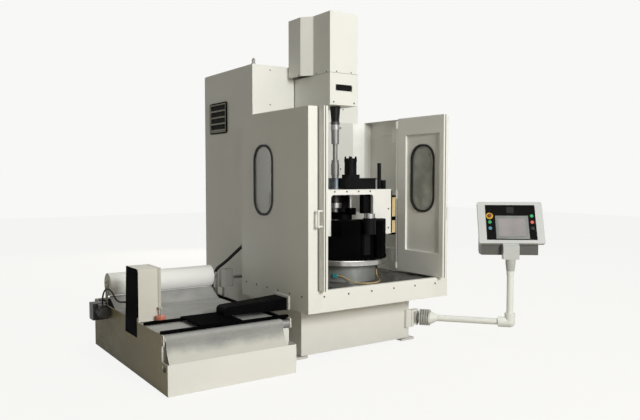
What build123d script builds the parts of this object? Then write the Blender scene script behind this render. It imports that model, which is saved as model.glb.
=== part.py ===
import math
import os

from build123d import *

os.makedirs("parts", exist_ok=True)

# Driving dimensions, millimetres, +Z up, front of the machine towards -Y.
# Origin: on the floor, in the middle of the anchor holes of the feet.
TRAY_HALF = 725.0
TRAY_FRONT = -1200.0
TRAY_BACK = -121.0
TRAY_Z = 446.0
TRAY_TOP = 583.0
TRAY_SHEET = 5.0
SILL_TOP = 615.0
FLOOR_Z = 590.0
FLOOR_T = 10.0
POST_W = 83.0
WALL_SHEET = 4.0
WALL_TOP = 2016.0

PED_HALF = 577.0
PED_DEPTH = 1736.0
PED_Z = 30.0
PED_WALL = 15.0
FOOT_X = 150.0
FOOT_Y = 110.0
FOOT_T = 20.0
FOOT_OUT = 78.0
ANCHOR_EDGE = 30.0
ANCHOR_X = 2 * (PED_HALF + FOOT_OUT - ANCHOR_EDGE)
ANCHOR_Y = 1600.0
ANCHOR_R = 9.0

HINGE_X = PED_HALF + 68.0
HINGE_Y = -PED_DEPTH / 2 - 16.0
ARM_Z = 212.0

CAB_HALF = 591.0
CAB_FRONT = -82.0
CAB_BACK = 918.0
CAB_TOP = 2491.0
CAB_SHEET = 4.0
COL_HALF = 150.0
COL_FRONT = -80.0
COL_BACK = 400.0

SPINDLE_Y = -525.0
HEAD_HALF = 148.0
HEAD_FRONT = -656.0
HEAD_Z = 2107.0
HEAD_TOP = 2383.0
COVER_TOP = 2903.0
QUILL_R = 50.0
SHAFT_R = 25.0
SLIDE_FIT = 0.05

INDEX_Y = -690.0
DISC_R = 358.0
DISC_Z = 745.0
DISC_T = 45.0
DRUM_R = 258.0
SPIGOT_R = 60.0
CUP_RING = INDEX_Y - SPINDLE_Y
CUP_R = 55.0
CUP_BORE = 36.0
CUP_H = 140.0

BRIDGE_Z = 1375.0
BRIDGE_HALF = 429.0
BRIDGE_FRONT = -787.0
BRIDGE_T = 24.0

DOOR_PIVOT_X = TRAY_HALF - POST_W - 28.0
DOOR_PIVOT_Y = -662.0
DOOR_POST_R = 17.5
DOOR_T = 36.0
DOOR_Z = 620.0
DOOR_TOP = 2016.0
RAIL_LOW = 780.0
RAIL_HIGH = 1885.0
RAIL_H = 20.0


def block(x0, x1, y0, y1, z0, z1, mode=Mode.ADD):
    """Square-cornered block between two opposite corners."""
    with BuildSketch(Plane((0.5 * (x0 + x1), 0.5 * (y0 + y1), z0))) as face:
        Rectangle(abs(x1 - x0), abs(y1 - y0))
    extrude(face.sketch, amount=z1 - z0, mode=mode)


def rod(origin, axis, radius, length, mode=Mode.ADD):
    """Round bar from a point along a direction."""
    with BuildSketch(Plane(origin, z_dir=axis)) as face:
        Circle(radius)
    extrude(face.sketch, amount=length, mode=mode)


def tube(origin, axis, outer, inner, length, mode=Mode.ADD):
    """Round sleeve from a point along a direction."""
    with BuildSketch(Plane(origin, z_dir=axis)) as face:
        Circle(outer)
        Circle(inner, mode=Mode.SUBTRACT)
    extrude(face.sketch, amount=length, mode=mode)


def cone(origin, axis, r0, r1, length, mode=Mode.ADD):
    """Tapered round bar from a point along a direction."""
    start = Plane(origin, z_dir=axis)
    with BuildSketch(start) as near:
        Circle(r0)
    with BuildSketch(start.offset(length)) as far:
        Circle(r1)
    loft([near.sketch.face(), far.sketch.face()], mode=mode)


def prism(plane, points, length, mode=Mode.ADD):
    """Straight-sided profile pulled out of a plane."""
    with BuildSketch(plane) as face:
        with BuildLine():
            Polyline(*points, close=True)
        make_face()
    extrude(face.sketch, amount=length, mode=mode)


def rounded(plane, width, height, radius, length, mode=Mode.ADD):
    """Round-cornered plate pulled out of a plane."""
    with BuildSketch(plane) as face:
        RectangleRounded(width, height, radius)
    extrude(face.sketch, amount=length, mode=mode)


def rounded_ring(plane, width, height, radius, rim, length, mode=Mode.ADD):
    """Round-cornered frame with an even rim."""
    with BuildSketch(plane) as face:
        RectangleRounded(width, height, radius)
        RectangleRounded(width - 2 * rim, height - 2 * rim, radius - rim, mode=Mode.SUBTRACT)
    extrude(face.sketch, amount=length, mode=mode)


def side_plane(x, y, z, out):
    """Upright plane facing left or right: its own x runs along Y, its own y runs up."""
    return Plane((x, y, z), x_dir=(0, out, 0), z_dir=(out, 0, 0))


# Pedestal: open-bottomed box with pads inside its corners for the feet and the pendant's hinge at one corner.
with BuildPart() as base_pedestal:
    block(-PED_HALF, PED_HALF, -PED_DEPTH / 2, PED_DEPTH / 2, PED_Z, TRAY_Z)
    block(-PED_HALF + PED_WALL, PED_HALF - PED_WALL, -PED_DEPTH / 2 + PED_WALL,
          PED_DEPTH / 2 - PED_WALL, PED_Z, TRAY_Z - PED_WALL, Mode.SUBTRACT)
    for sx in (-1, 1):
        for sy in (-1, 1):
            pad_x = sx * (PED_HALF - PED_WALL - 45)
            pad_y = sy * (PED_DEPTH / 2 - PED_WALL - 60)
            block(pad_x - 45, pad_x + 45, pad_y - 60, pad_y + 60, PED_Z, PED_Z + 25)
    for y_rib in (-300, 300):
        block(-PED_HALF + PED_WALL, PED_HALF - PED_WALL, y_rib - 6, y_rib + 6, 150, TRAY_Z - PED_WALL)
    block(PED_HALF - 57, HINGE_X - 39, HINGE_Y - 16, -PED_DEPTH / 2, 128, 285)
    for z_ear in (ARM_Z - 72, ARM_Z + 54):
        block(HINGE_X - 45, HINGE_X, HINGE_Y - 24, HINGE_Y + 24, z_ear, z_ear + 18)
        rod((HINGE_X, HINGE_Y, z_ear), (0, 0, 1), 24, 18)
    block(PED_HALF, HINGE_X - 44, HINGE_Y - 24, HINGE_Y + 24, ARM_Z - 72, ARM_Z + 72)
    rod((HINGE_X, HINGE_Y, ARM_Z - 72), (0, 0, 1), 12, 144)
base_pedestal.part.label = "base_pedestal"
export_step(base_pedestal.part, "parts/base_pedestal.step")

# Feet: a plate reaching out past the pedestal with the anchor hole, and a short screw stem.
with BuildPart() as levelling_feet:
    for sx in (-1, 1):
        for sy in (-1, 1):
            outer_x = sx * (PED_HALF + FOOT_OUT)
            inner_x = outer_x - sx * FOOT_X
            anchor_y = sy * ANCHOR_Y / 2
            block(min(outer_x, inner_x), max(outer_x, inner_x), anchor_y - FOOT_Y / 2,
                  anchor_y + FOOT_Y / 2, 0, FOOT_T)
            rod((sx * (PED_HALF - 30), anchor_y, FOOT_T), (0, 0, 1), 20, PED_Z - FOOT_T)
            rod((sx * ANCHOR_X / 2, anchor_y, -1), (0, 0, 1), ANCHOR_R, FOOT_T + 2, Mode.SUBTRACT)
levelling_feet.part.label = "levelling_feet"
export_step(levelling_feet.part, "parts/levelling_feet.step")

# Coolant tray: folded pan with a raised front sill and a frame of ribs under the floor plates.
SILL_HALF = TRAY_HALF - POST_W
OUTLET_Y = -810.0
with BuildPart() as coolant_tray:
    block(-TRAY_HALF, TRAY_HALF, TRAY_FRONT, TRAY_BACK, TRAY_Z, TRAY_TOP)
    block(-TRAY_HALF + TRAY_SHEET, TRAY_HALF - TRAY_SHEET, TRAY_FRONT + TRAY_SHEET,
          TRAY_BACK - TRAY_SHEET, TRAY_Z + 6, TRAY_TOP, Mode.SUBTRACT)
    block(-SILL_HALF, SILL_HALF, TRAY_FRONT, TRAY_FRONT + TRAY_SHEET, TRAY_TOP, SILL_TOP)
    block(-SILL_HALF, SILL_HALF, TRAY_FRONT, TRAY_FRONT + 32, SILL_TOP - 4, SILL_TOP)
    for y_rib in (TRAY_FRONT + 43, TRAY_BACK - 16):
        block(-SILL_HALF + 6, SILL_HALF - 6, y_rib - 3, y_rib + 3, TRAY_Z + 6, FLOOR_Z)
    for x_rib in (-SILL_HALF + 9, SILL_HALF - 9):
        block(x_rib - 3, x_rib + 3, TRAY_FRONT + 40, TRAY_BACK - 13, TRAY_Z + 6, FLOOR_Z)
    block(-TRAY_HALF - 1, -SILL_HALF + 13, OUTLET_Y - 70, OUTLET_Y + 70, TRAY_Z + 24, TRAY_Z + 84,
          Mode.SUBTRACT)
coolant_tray.part.label = "coolant_tray"
export_step(coolant_tray.part, "parts/coolant_tray.step")

# Floor plates: two dark plates meeting in the middle, cut out round the index drum.
with BuildPart() as tray_floor_plates:
    for sx in (-1, 1):
        block(min(sx * 1, sx * (SILL_HALF - 4)), max(sx * 1, sx * (SILL_HALF - 4)), TRAY_FRONT + 36,
              TRAY_BACK - 9, FLOOR_Z, FLOOR_Z + FLOOR_T)
    rod((0, INDEX_Y, FLOOR_Z - 1), (0, 0, 1), DRUM_R + 4, FLOOR_T + 2, Mode.SUBTRACT)
    for sx in (-1, 1):
        for n in range(3):
            rod((sx * (330 + 80 * n), TRAY_FRONT + 165, FLOOR_Z - 1), (0, 0, 1), 12, FLOOR_T + 2,
                Mode.SUBTRACT)
tray_floor_plates.part.label = "tray_floor_plates"
export_step(tray_floor_plates.part, "parts/tray_floor_plates.step")

# Side walls: folded channel with two door rails on the inside; the left one has a rounded window.
WALL_MID_Y = 0.5 * (TRAY_FRONT + TRAY_BACK)
WIN_Y = -514.0
WIN_Z = 1458.0
WIN_W = 322.0
WIN_H = 590.0
WIN_R = 140.0
WIN_SEAL = 20.0
SEAL_LAP = 10.0


def wall(sx):
    """One side wall of the enclosure; sx is -1 for left and 1 for right."""
    skin = sx * TRAY_HALF
    lip = sx * (TRAY_HALF - POST_W)
    inside = skin - sx * WALL_SHEET
    block(min(skin, lip), max(skin, lip), TRAY_FRONT, TRAY_BACK, TRAY_TOP, WALL_TOP)
    block(min(inside, lip), max(inside, lip), TRAY_FRONT + WALL_SHEET, TRAY_BACK - WALL_SHEET,
          TRAY_TOP + WALL_SHEET, WALL_TOP - WALL_SHEET, Mode.SUBTRACT)
    for z_rail in (RAIL_LOW, RAIL_HIGH):
        rail = inside - sx * 40
        block(min(inside, rail), max(inside, rail), TRAY_FRONT + WALL_SHEET, TRAY_BACK - 200,
              z_rail, z_rail + RAIL_H)


with BuildPart() as left_wall_panel:
    wall(-1)
    rounded(side_plane(-TRAY_HALF + 10, WIN_Y, WIN_Z, -1), WIN_W - 2 * SEAL_LAP, WIN_H - 2 * SEAL_LAP,
            WIN_R - SEAL_LAP, 20, Mode.SUBTRACT)
left_wall_panel.part.label = "left_wall_panel"
export_step(left_wall_panel.part, "parts/left_wall_panel.step")

with BuildPart() as right_wall_panel:
    wall(1)
right_wall_panel.part.label = "right_wall_panel"
export_step(right_wall_panel.part, "parts/right_wall_panel.step")

with BuildPart() as wall_window_pane:
    rounded(side_plane(WALL_SHEET - TRAY_HALF, WIN_Y, WIN_Z, 1), WIN_W + 10, WIN_H + 10, WIN_R, 6)
wall_window_pane.part.label = "wall_window_pane"
export_step(wall_window_pane.part, "parts/wall_window_pane.step")

with BuildPart() as wall_window_seal:
    rounded_ring(side_plane(-TRAY_HALF, WIN_Y, WIN_Z, -1), WIN_W, WIN_H, WIN_R, WIN_SEAL, 7)
    rounded_ring(side_plane(WALL_SHEET - TRAY_HALF, WIN_Y, WIN_Z, -1), WIN_W - 2 * SEAL_LAP,
                 WIN_H - 2 * SEAL_LAP, WIN_R - SEAL_LAP, WIN_SEAL - SEAL_LAP, WALL_SHEET)
wall_window_seal.part.label = "wall_window_seal"
export_step(wall_window_seal.part, "parts/wall_window_seal.step")

# Splash panel closing the back of the enclosure, folded forward at both ends to the walls.
SPLASH_FOLD = 530.0
with BuildPart() as rear_splash_panel:
    tab = TRAY_BACK - WALL_SHEET
    flat = CAB_FRONT
    edge = SILL_HALF - 2
    prism(Plane((0, 0, FLOOR_Z + FLOOR_T)), [
        (-edge - 58, tab - 3), (-edge + 2, tab - 3), (-SPLASH_FOLD + 2, flat - 3),
        (SPLASH_FOLD - 2, flat - 3), (edge - 2, tab - 3), (edge + 58, tab - 3),
        (edge + 58, tab), (edge, tab), (SPLASH_FOLD, flat),
        (-SPLASH_FOLD, flat), (-edge, tab), (-edge - 58, tab)], WALL_TOP - WALL_SHEET - FLOOR_Z - FLOOR_T)
rear_splash_panel.part.label = "rear_splash_panel"
export_step(rear_splash_panel.part, "parts/rear_splash_panel.step")

# Rear cabinet: sheet-metal box round the column, open at the back behind its door.
with BuildPart() as cabinet_shell:
    block(-CAB_HALF, CAB_HALF, CAB_FRONT, CAB_BACK, TRAY_Z, CAB_TOP)
    block(-CAB_HALF + CAB_SHEET, CAB_HALF - CAB_SHEET, CAB_FRONT + CAB_SHEET, CAB_BACK + 1,
          TRAY_Z + 6, CAB_TOP - CAB_SHEET, Mode.SUBTRACT)
    block(-COL_HALF - 5, COL_HALF + 5, CAB_FRONT - 1, CAB_FRONT + CAB_SHEET + 1, TRAY_Z + 6,
          HEAD_TOP + 5, Mode.SUBTRACT)
    for sx in (-1, 1):
        lip_out = sx * CAB_HALF
        lip_in = sx * (CAB_HALF - 30)
        block(min(lip_out, lip_in), max(lip_out, lip_in), CAB_BACK - 4, CAB_BACK, TRAY_Z, CAB_TOP)
    block(-CAB_HALF, CAB_HALF, CAB_BACK - 4, CAB_BACK, CAB_TOP - 30, CAB_TOP)
    block(-CAB_HALF, CAB_HALF, CAB_BACK - 4, CAB_BACK, TRAY_Z, TRAY_Z + 30)
    for z_arm, z_pin in ((TRAY_Z + 6, TRAY_Z + 14), (CAB_TOP - 14, CAB_TOP - 24)):
        block(-CAB_HALF, -CAB_HALF + 18, CAB_BACK, CAB_BACK + 22, z_arm, z_arm + 8)
        rod((-CAB_HALF + 12, CAB_BACK + 14, min(z_arm, z_pin)), (0, 0, 1), 5, 18)
cabinet_shell.part.label = "cabinet_shell"
export_step(cabinet_shell.part, "parts/cabinet_shell.step")

# Rear door: folded pan turning on two pins at its left edge.
with BuildPart() as cabinet_door:
    door_low = TRAY_Z + 17
    door_high = CAB_TOP - 17
    block(-CAB_HALF + 4, CAB_HALF - 4, CAB_BACK + 4, CAB_BACK + 24, door_low, door_high)
    block(-CAB_HALF + 6, CAB_HALF - 6, CAB_BACK + 3, CAB_BACK + 22, door_low + 4, door_high - 4,
          Mode.SUBTRACT)
    for z_hole in (door_low - 1, door_high - 5):
        rod((-CAB_HALF + 12, CAB_BACK + 14, z_hole), (0, 0, 1), 5 + SLIDE_FIT, 6, Mode.SUBTRACT)
    rod((CAB_HALF - 60, CAB_BACK + 24, 1400), (0, 1, 0), 18, 10)
    block(CAB_HALF - 66, CAB_HALF - 54, CAB_BACK + 34, CAB_BACK + 42, 1340, 1420)
cabinet_door.part.label = "cabinet_door"
export_step(cabinet_door.part, "parts/cabinet_door.step")

# Louvred vent on the left side of the cabinet.
VENT_Y = 610.0
VENT_Z = 2055.0
with BuildPart() as cabinet_vent:
    rounded_ring(side_plane(-CAB_HALF, VENT_Y, VENT_Z, -1), 370, 300, 26, 24, 12)
    rounded(side_plane(-CAB_HALF, VENT_Y, VENT_Z, -1), 340, 270, 10, 2)
    for n in range(4):
        z_slat = VENT_Z - 95 + 62 * n
        prism(Plane((0, VENT_Y - 163, 0), x_dir=(1, 0, 0), z_dir=(0, 1, 0)), [
            (-CAB_HALF - 1, -z_slat - 20), (-CAB_HALF - 1, -z_slat - 26), (-CAB_HALF - 11, -z_slat + 22),
            (-CAB_HALF - 11, -z_slat + 28)], 326)
cabinet_vent.part.label = "cabinet_vent"
export_step(cabinet_vent.part, "parts/cabinet_vent.step")

# Lifting eyes on the front corners of the cabinet roof.
with BuildPart() as lifting_eyes:
    for sx in (-1, 1):
        eye_x = sx * (CAB_HALF - 26)
        rod((eye_x, CAB_FRONT + 26, CAB_TOP), (0, 0, 1), 21, 9)
        upright = Plane((eye_x, CAB_FRONT + 26, CAB_TOP + 31), x_dir=(1, 0, 0), z_dir=(0, -1, 0))
        with BuildSketch(upright) as eye:
            with Locations((0, 19)):
                Circle(7)
        revolve(eye.sketch, Axis((eye_x, CAB_FRONT + 26, CAB_TOP + 31), (1, 0, 0)), 360)
lifting_eyes.part.label = "lifting_eyes"
export_step(lifting_eyes.part, "parts/lifting_eyes.step")

# Column: hollow casting standing in the cabinet, as high as the head it carries.
with BuildPart() as column:
    block(-COL_HALF, COL_HALF, COL_FRONT, COL_BACK, TRAY_Z + 6, HEAD_TOP)
    block(-COL_HALF + 30, COL_HALF - 30, COL_FRONT + 30, COL_BACK - 30, TRAY_Z + 5, HEAD_TOP + 1,
          Mode.SUBTRACT)
column.part.label = "column"
export_step(column.part, "parts/column.step")

# Head housing: casting on the column with the bore the quill slides in.
with BuildPart() as head_housing:
    block(-HEAD_HALF, HEAD_HALF, HEAD_FRONT, COL_FRONT, HEAD_Z, HEAD_TOP)
    block(-HEAD_HALF + 28, HEAD_HALF - 28, SPINDLE_Y + 95, COL_FRONT - 30, HEAD_Z + 30, HEAD_TOP + 1,
          Mode.SUBTRACT)
    rod((0, SPINDLE_Y, HEAD_Z - 1), (0, 0, 1), QUILL_R + SLIDE_FIT, HEAD_TOP - HEAD_Z + 2, Mode.SUBTRACT)
head_housing.part.label = "head_housing"
export_step(head_housing.part, "parts/head_housing.step")

# Head cover: tall sheet hood, wider behind an oblique shoulder.
COVER_WIDE = 226.0
SHOULDER_Y = -397.0
WIDE_Y = -307.0
COVER_BACK = -104.0
COVER_SHEET = 4.0
with BuildPart() as head_cover:
    for inset, top, mode in ((0, COVER_TOP, Mode.ADD), (COVER_SHEET, COVER_TOP - COVER_SHEET, Mode.SUBTRACT)):
        front = HEAD_FRONT + inset
        narrow = HEAD_HALF - inset
        wide = COVER_WIDE - inset
        back = COVER_BACK - inset
        prism(Plane((0, 0, HEAD_TOP)), [
            (-narrow, front), (narrow, front), (narrow, SHOULDER_Y + inset / 2), (wide, WIDE_Y + inset / 2),
            (wide, back), (-wide, back), (-wide, WIDE_Y + inset / 2), (-narrow, SHOULDER_Y + inset / 2)],
            top - HEAD_TOP, mode)
head_cover.part.label = "head_cover"
export_step(head_cover.part, "parts/head_cover.step")

# Quill: sleeve that strokes up and down in the head and carries the spindle.
QUILL_Z = 2126.0
QUILL_TOP = 2700.0
with BuildPart() as spindle_quill:
    tube((0, SPINDLE_Y, QUILL_Z), (0, 0, 1), QUILL_R, SHAFT_R + SLIDE_FIT, QUILL_TOP - QUILL_Z)
spindle_quill.part.label = "spindle_quill"
export_step(spindle_quill.part, "parts/spindle_quill.step")

# Tool holder: black taper nose on the spindle shaft, with a nut above the quill.
NOSE_LOW = 1971.0
with BuildPart() as tool_holder:
    cone((0, SPINDLE_Y, QUILL_Z - 0.5), (0, 0, -1), 48, 36, 137)
    rod((0, SPINDLE_Y, QUILL_Z - 137.5), (0, 0, -1), 36, QUILL_Z - 137.5 - NOSE_LOW)
    rod((0, SPINDLE_Y, QUILL_Z - 0.5), (0, 0, 1), SHAFT_R, QUILL_TOP - QUILL_Z + 1)
    rod((0, SPINDLE_Y, QUILL_TOP + 0.5), (0, 0, 1), 40, 18)
tool_holder.part.label = "tool_holder"
export_step(tool_holder.part, "parts/tool_holder.step")

# Honing tool: stepped steel shank and mandrel below the holder.
TOOL_STEPS = ((NOSE_LOW, 1948.0, 40.0), (1948.0, 1936.0, 34.0), (1936.0, 1900.0, 40.0),
              (1900.0, 1776.0, 34.5), (1776.0, 1634.0, 21.0), (1634.0, 1602.0, 33.0),
              (1602.0, 1500.0, 37.0), (1500.0, 1470.0, 32.0), (1470.0, 1050.0, 25.0))
STONE_TOP = 1175.0
STONE_LEN = 110.0
with BuildPart() as honing_tool:
    for z_top, z_low, radius in TOOL_STEPS:
        rod((0, SPINDLE_Y, z_top), (0, 0, -1), radius, z_top - z_low)
honing_tool.part.label = "honing_tool"
export_step(honing_tool.part, "parts/honing_tool.step")

with BuildPart() as honing_stones:
    for n in range(4):
        angle = math.radians(45 + 90 * n)
        out = (math.cos(angle), math.sin(angle), 0)
        middle = (25 * out[0], SPINDLE_Y + 25 * out[1], STONE_TOP - STONE_LEN / 2)
        seat = Plane(middle, x_dir=(0, 0, 1), z_dir=out)
        with BuildSketch(seat.offset(-0.9)) as stone:
            Rectangle(STONE_LEN, 10)
        extrude(stone.sketch, amount=8)
    rod((0, SPINDLE_Y, STONE_TOP - STONE_LEN - 2), (0, 0, 1), 25, STONE_LEN + 4, Mode.SUBTRACT)
honing_stones.part.label = "honing_stones"
export_step(honing_stones.part, "parts/honing_stones.step")

LEAD_IN = math.radians(-56)
LEAD_OUT = math.radians(57)


def drum_point(turn, radius, z):
    """Point round the index axis; the turn is 0 at the front and grows to the right."""
    return (radius * math.sin(turn), INDEX_Y - radius * math.cos(turn), z)


# Index drum standing in the tray, with the bore for the disc's spigot and two plug sockets on its wall.
with BuildPart() as index_base:
    rod((0, INDEX_Y, TRAY_Z + 6), (0, 0, 1), DRUM_R, DISC_Z - 0.5 - TRAY_Z - 6)
    rod((0, INDEX_Y, TRAY_Z + 5), (0, 0, 1), DRUM_R - 22, DISC_Z - 51 - TRAY_Z, Mode.SUBTRACT)
    rod((0, INDEX_Y, DISC_Z - 60), (0, 0, 1), SPIGOT_R + SLIDE_FIT, 70, Mode.SUBTRACT)
    sockets = ((LEAD_IN, FLOOR_Z + 48, FLOOR_Z + 82), (LEAD_OUT, FLOOR_Z + 92, FLOOR_Z + 132))
    for turn, z_low, z_high in sockets:
        outward = (math.cos(turn), math.sin(turn), 0)
        socket = Plane(drum_point(turn, DRUM_R - 2, z_low), x_dir=outward, z_dir=(0, 0, 1))
        with BuildSketch(socket) as plug:
            with Locations((0, -9)):
                Rectangle(34, 22)
        extrude(plug.sketch, amount=z_high - z_low)
index_base.part.label = "index_base"
export_step(index_base.part, "parts/index_base.step")

with BuildPart() as index_disc:
    rod((0, INDEX_Y, DISC_Z), (0, 0, 1), DISC_R, DISC_T)
    rod((0, INDEX_Y, DISC_Z - 42), (0, 0, 1), SPIGOT_R, 42)
    chamfer(index_disc.edges().filter_by(GeomType.CIRCLE).group_by(SortBy.RADIUS)[-1], 4)
index_disc.part.label = "index_disc"
export_step(index_disc.part, "parts/index_disc.step")

# Work cups: four bored holders on the disc, one of them under the spindle.
with BuildPart() as work_cups:
    for n in range(4):
        angle = math.radians(90 * n)
        cup_x = abs(CUP_RING) * math.sin(angle)
        cup_y = INDEX_Y + abs(CUP_RING) * math.cos(angle)
        tube((cup_x, cup_y, DISC_Z + DISC_T), (0, 0, 1), CUP_R, CUP_BORE, CUP_H)
        tube((cup_x, cup_y, DISC_Z + DISC_T), (0, 0, 1), CUP_R + 14, CUP_BORE, 16)
work_cups.part.label = "work_cups"
export_step(work_cups.part, "parts/work_cups.step")

# Bridge: white plate frame over the index table, carried back to the splash panel.
BRIDGE_LOW = 977.0
SHELF_T = 30.0
SHELF_BACK = -420.0
SHELF_BORE = 45.0
with BuildPart() as fixture_bridge:
    block(-BRIDGE_HALF, BRIDGE_HALF, BRIDGE_FRONT, BRIDGE_FRONT + BRIDGE_T, BRIDGE_LOW, BRIDGE_Z)
    front = Plane((0, BRIDGE_FRONT - 1, 0.5 * (1000 + 1331)), x_dir=(1, 0, 0), z_dir=(0, -1, 0))
    rounded(front, 454, 331, 30, -BRIDGE_T - 2, Mode.SUBTRACT)
    block(-BRIDGE_HALF, BRIDGE_HALF, BRIDGE_FRONT + BRIDGE_T, SHELF_BACK, BRIDGE_Z - SHELF_T, BRIDGE_Z)
    for sx in (-1, 1):
        cheek = sx * BRIDGE_HALF
        block(min(cheek, cheek - sx * 24), max(cheek, cheek - sx * 24),
              BRIDGE_FRONT + BRIDGE_T, CAB_FRONT - 3, 1150, BRIDGE_Z - SHELF_T)
    rod((0, SPINDLE_Y, BRIDGE_Z - SHELF_T - 1), (0, 0, 1), SHELF_BORE, SHELF_T + 2, Mode.SUBTRACT)
    rod((78, -650, BRIDGE_Z - SHELF_T - 1), (0, 0, 1), 18, SHELF_T + 2, Mode.SUBTRACT)
fixture_bridge.part.label = "fixture_bridge"
export_step(fixture_bridge.part, "parts/fixture_bridge.step")

# Housing: black shell round the front of the table, lower on its left, open below and behind.
HOUSE_LOW = 795.0
HOUSE_TOP = 1118.0
HOUSE_FRONT = BRIDGE_FRONT - 233.0
WING_TOP = 985.0
WING_X = -228.0
WING_T = 17.0
WING_SLOPE = (HOUSE_FRONT - BRIDGE_FRONT + 93) / 170.0
WING_Y = BRIDGE_FRONT - 93 + WING_SLOPE * (WING_X + 300)
with BuildPart() as fixture_housing:
    prism(Plane((0, 0, HOUSE_LOW)), [
        (-330, BRIDGE_FRONT), (-300, BRIDGE_FRONT - 93), (-130, HOUSE_FRONT), (-95, HOUSE_FRONT),
        (-95, HOUSE_FRONT + 45), (80, HOUSE_FRONT + 45), (80, HOUSE_FRONT), (140, HOUSE_FRONT),
        (300, BRIDGE_FRONT - 83), (330, BRIDGE_FRONT)], HOUSE_TOP - HOUSE_LOW)
    prism(Plane((0, 0, HOUSE_LOW - 1)), [
        (-312, BRIDGE_FRONT + 5), (-284, BRIDGE_FRONT - 84), (-125, HOUSE_FRONT + 18),
        (-111, HOUSE_FRONT + 18), (-111, HOUSE_FRONT + 61), (96, HOUSE_FRONT + 61),
        (96, HOUSE_FRONT + 18), (133, HOUSE_FRONT + 18),
        (284, BRIDGE_FRONT - 75), (312, BRIDGE_FRONT + 5)], HOUSE_TOP - HOUSE_LOW - 17, Mode.SUBTRACT)
    block(-335, WING_X, HOUSE_FRONT, BRIDGE_FRONT + 1, WING_TOP, HOUSE_TOP + 1, Mode.SUBTRACT)
    prism(Plane((0, 0, WING_TOP - WING_T)), [
        (-330, BRIDGE_FRONT), (-300, BRIDGE_FRONT - 93), (WING_X, WING_Y), (WING_X, BRIDGE_FRONT)], WING_T)
    prism(Plane((0, 0, WING_TOP - WING_T)), [
        (WING_X, BRIDGE_FRONT), (WING_X, WING_Y), (WING_X + WING_T, WING_Y + WING_SLOPE * WING_T),
        (WING_X + WING_T, BRIDGE_FRONT)], HOUSE_TOP - WING_TOP + WING_T)
    with BuildSketch(Plane((0, INDEX_Y, HOUSE_LOW))) as flange:
        Circle(352)
        Circle(318, mode=Mode.SUBTRACT)
        with Locations((0, 400 + BRIDGE_FRONT - INDEX_Y)):
            Rectangle(800, 800, mode=Mode.SUBTRACT)
    extrude(flange.sketch, amount=14)
fixture_housing.part.label = "fixture_housing"
export_step(fixture_housing.part, "parts/fixture_housing.step")

# Gauge post: round probe holder in the recess of the housing.
with BuildPart() as gauge_post:
    rod((-8, HOUSE_FRONT - 10, HOUSE_TOP - 108), (0, 0, 1), 55, 133)
    tube((-8, HOUSE_FRONT - 10, HOUSE_TOP + 25), (0, 0, 1), 46, 30, 37)
    block(-48, 32, HOUSE_FRONT + 30, HOUSE_FRONT + 45, HOUSE_LOW + 35, HOUSE_TOP - 8)
    block(-38, 22, HOUSE_FRONT + 20, HOUSE_FRONT + 30, HOUSE_LOW + 35, HOUSE_TOP - 8)
gauge_post.part.label = "gauge_post"
export_step(gauge_post.part, "parts/gauge_post.step")

# Guide bushing: collar on the bridge's shelf, and a sleeve with a flange hanging below it.
BUSHING_BORE = 40.0
SLEEVE_LOW = 1209.0
with BuildPart() as guide_bushing:
    tube((0, SPINDLE_Y, BRIDGE_Z), (0, 0, 1), 60.5, BUSHING_BORE, 99)
    chamfer(guide_bushing.edges().filter_by(GeomType.CIRCLE).sort_by(Axis.Z)[-2:], 3)
    tube((0, SPINDLE_Y, SLEEVE_LOW), (0, 0, 1), SHELF_BORE - 0.35, BUSHING_BORE, BRIDGE_Z - SLEEVE_LOW)
    tube((0, SPINDLE_Y, SLEEVE_LOW), (0, 0, 1), 57, BUSHING_BORE, 44)
    tube((0, SPINDLE_Y, SLEEVE_LOW + 60), (0, 0, 1), 53, BUSHING_BORE, 30)
guide_bushing.part.label = "guide_bushing"
export_step(guide_bushing.part, "parts/guide_bushing.step")

# Clamp cylinder with its tie rods, side block and guide rod on the bridge, and a stop
# block and a back plate under its shelf.
CLAMP_X = 78.0
CLAMP_Y = -650.0
CLAMP_R = 15.0
with BuildPart() as clamp_cylinder:
    block(-10, 320, CLAMP_Y - 52, CLAMP_Y + 45, BRIDGE_Z, BRIDGE_Z + 99)
    block(150, 330, CLAMP_Y - 57, CLAMP_Y + 50, BRIDGE_Z + 88, BRIDGE_Z + 99)
    rod((CLAMP_X, CLAMP_Y, BRIDGE_Z + 99), (0, 0, 1), 46, 165)
    block(CLAMP_X - 62, CLAMP_X + 62, CLAMP_Y - 52, CLAMP_Y + 45, BRIDGE_Z + 99, BRIDGE_Z + 130)
    rod((CLAMP_X, CLAMP_Y, BRIDGE_Z + 240), (0, 0, 1), 56, 32)
    for n in range(4):
        angle = math.radians(45 + 90 * n)
        tie = (CLAMP_X + 46 * math.cos(angle), CLAMP_Y + 46 * math.sin(angle), BRIDGE_Z + 120)
        rod(tie, (0, 0, 1), 8, 169)
    rod((CLAMP_X, CLAMP_Y, BRIDGE_Z - 1), (0, 0, 1), CLAMP_R + SLIDE_FIT, 230, Mode.SUBTRACT)
    rod((362, -700, BRIDGE_Z), (0, 0, 1), 17.5, 233)
    block(390, 424, -720, -680, BRIDGE_Z, BRIDGE_Z + 80)
    block(172, 252, CLAMP_Y - 70, CLAMP_Y - 10, BRIDGE_Z - SHELF_T - 185, BRIDGE_Z - SHELF_T)
    block(6, 249, SHELF_BACK - 25, SHELF_BACK - 13, BRIDGE_Z - SHELF_T - 285, BRIDGE_Z - SHELF_T)
clamp_cylinder.part.label = "clamp_cylinder"
export_step(clamp_cylinder.part, "parts/clamp_cylinder.step")

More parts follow.
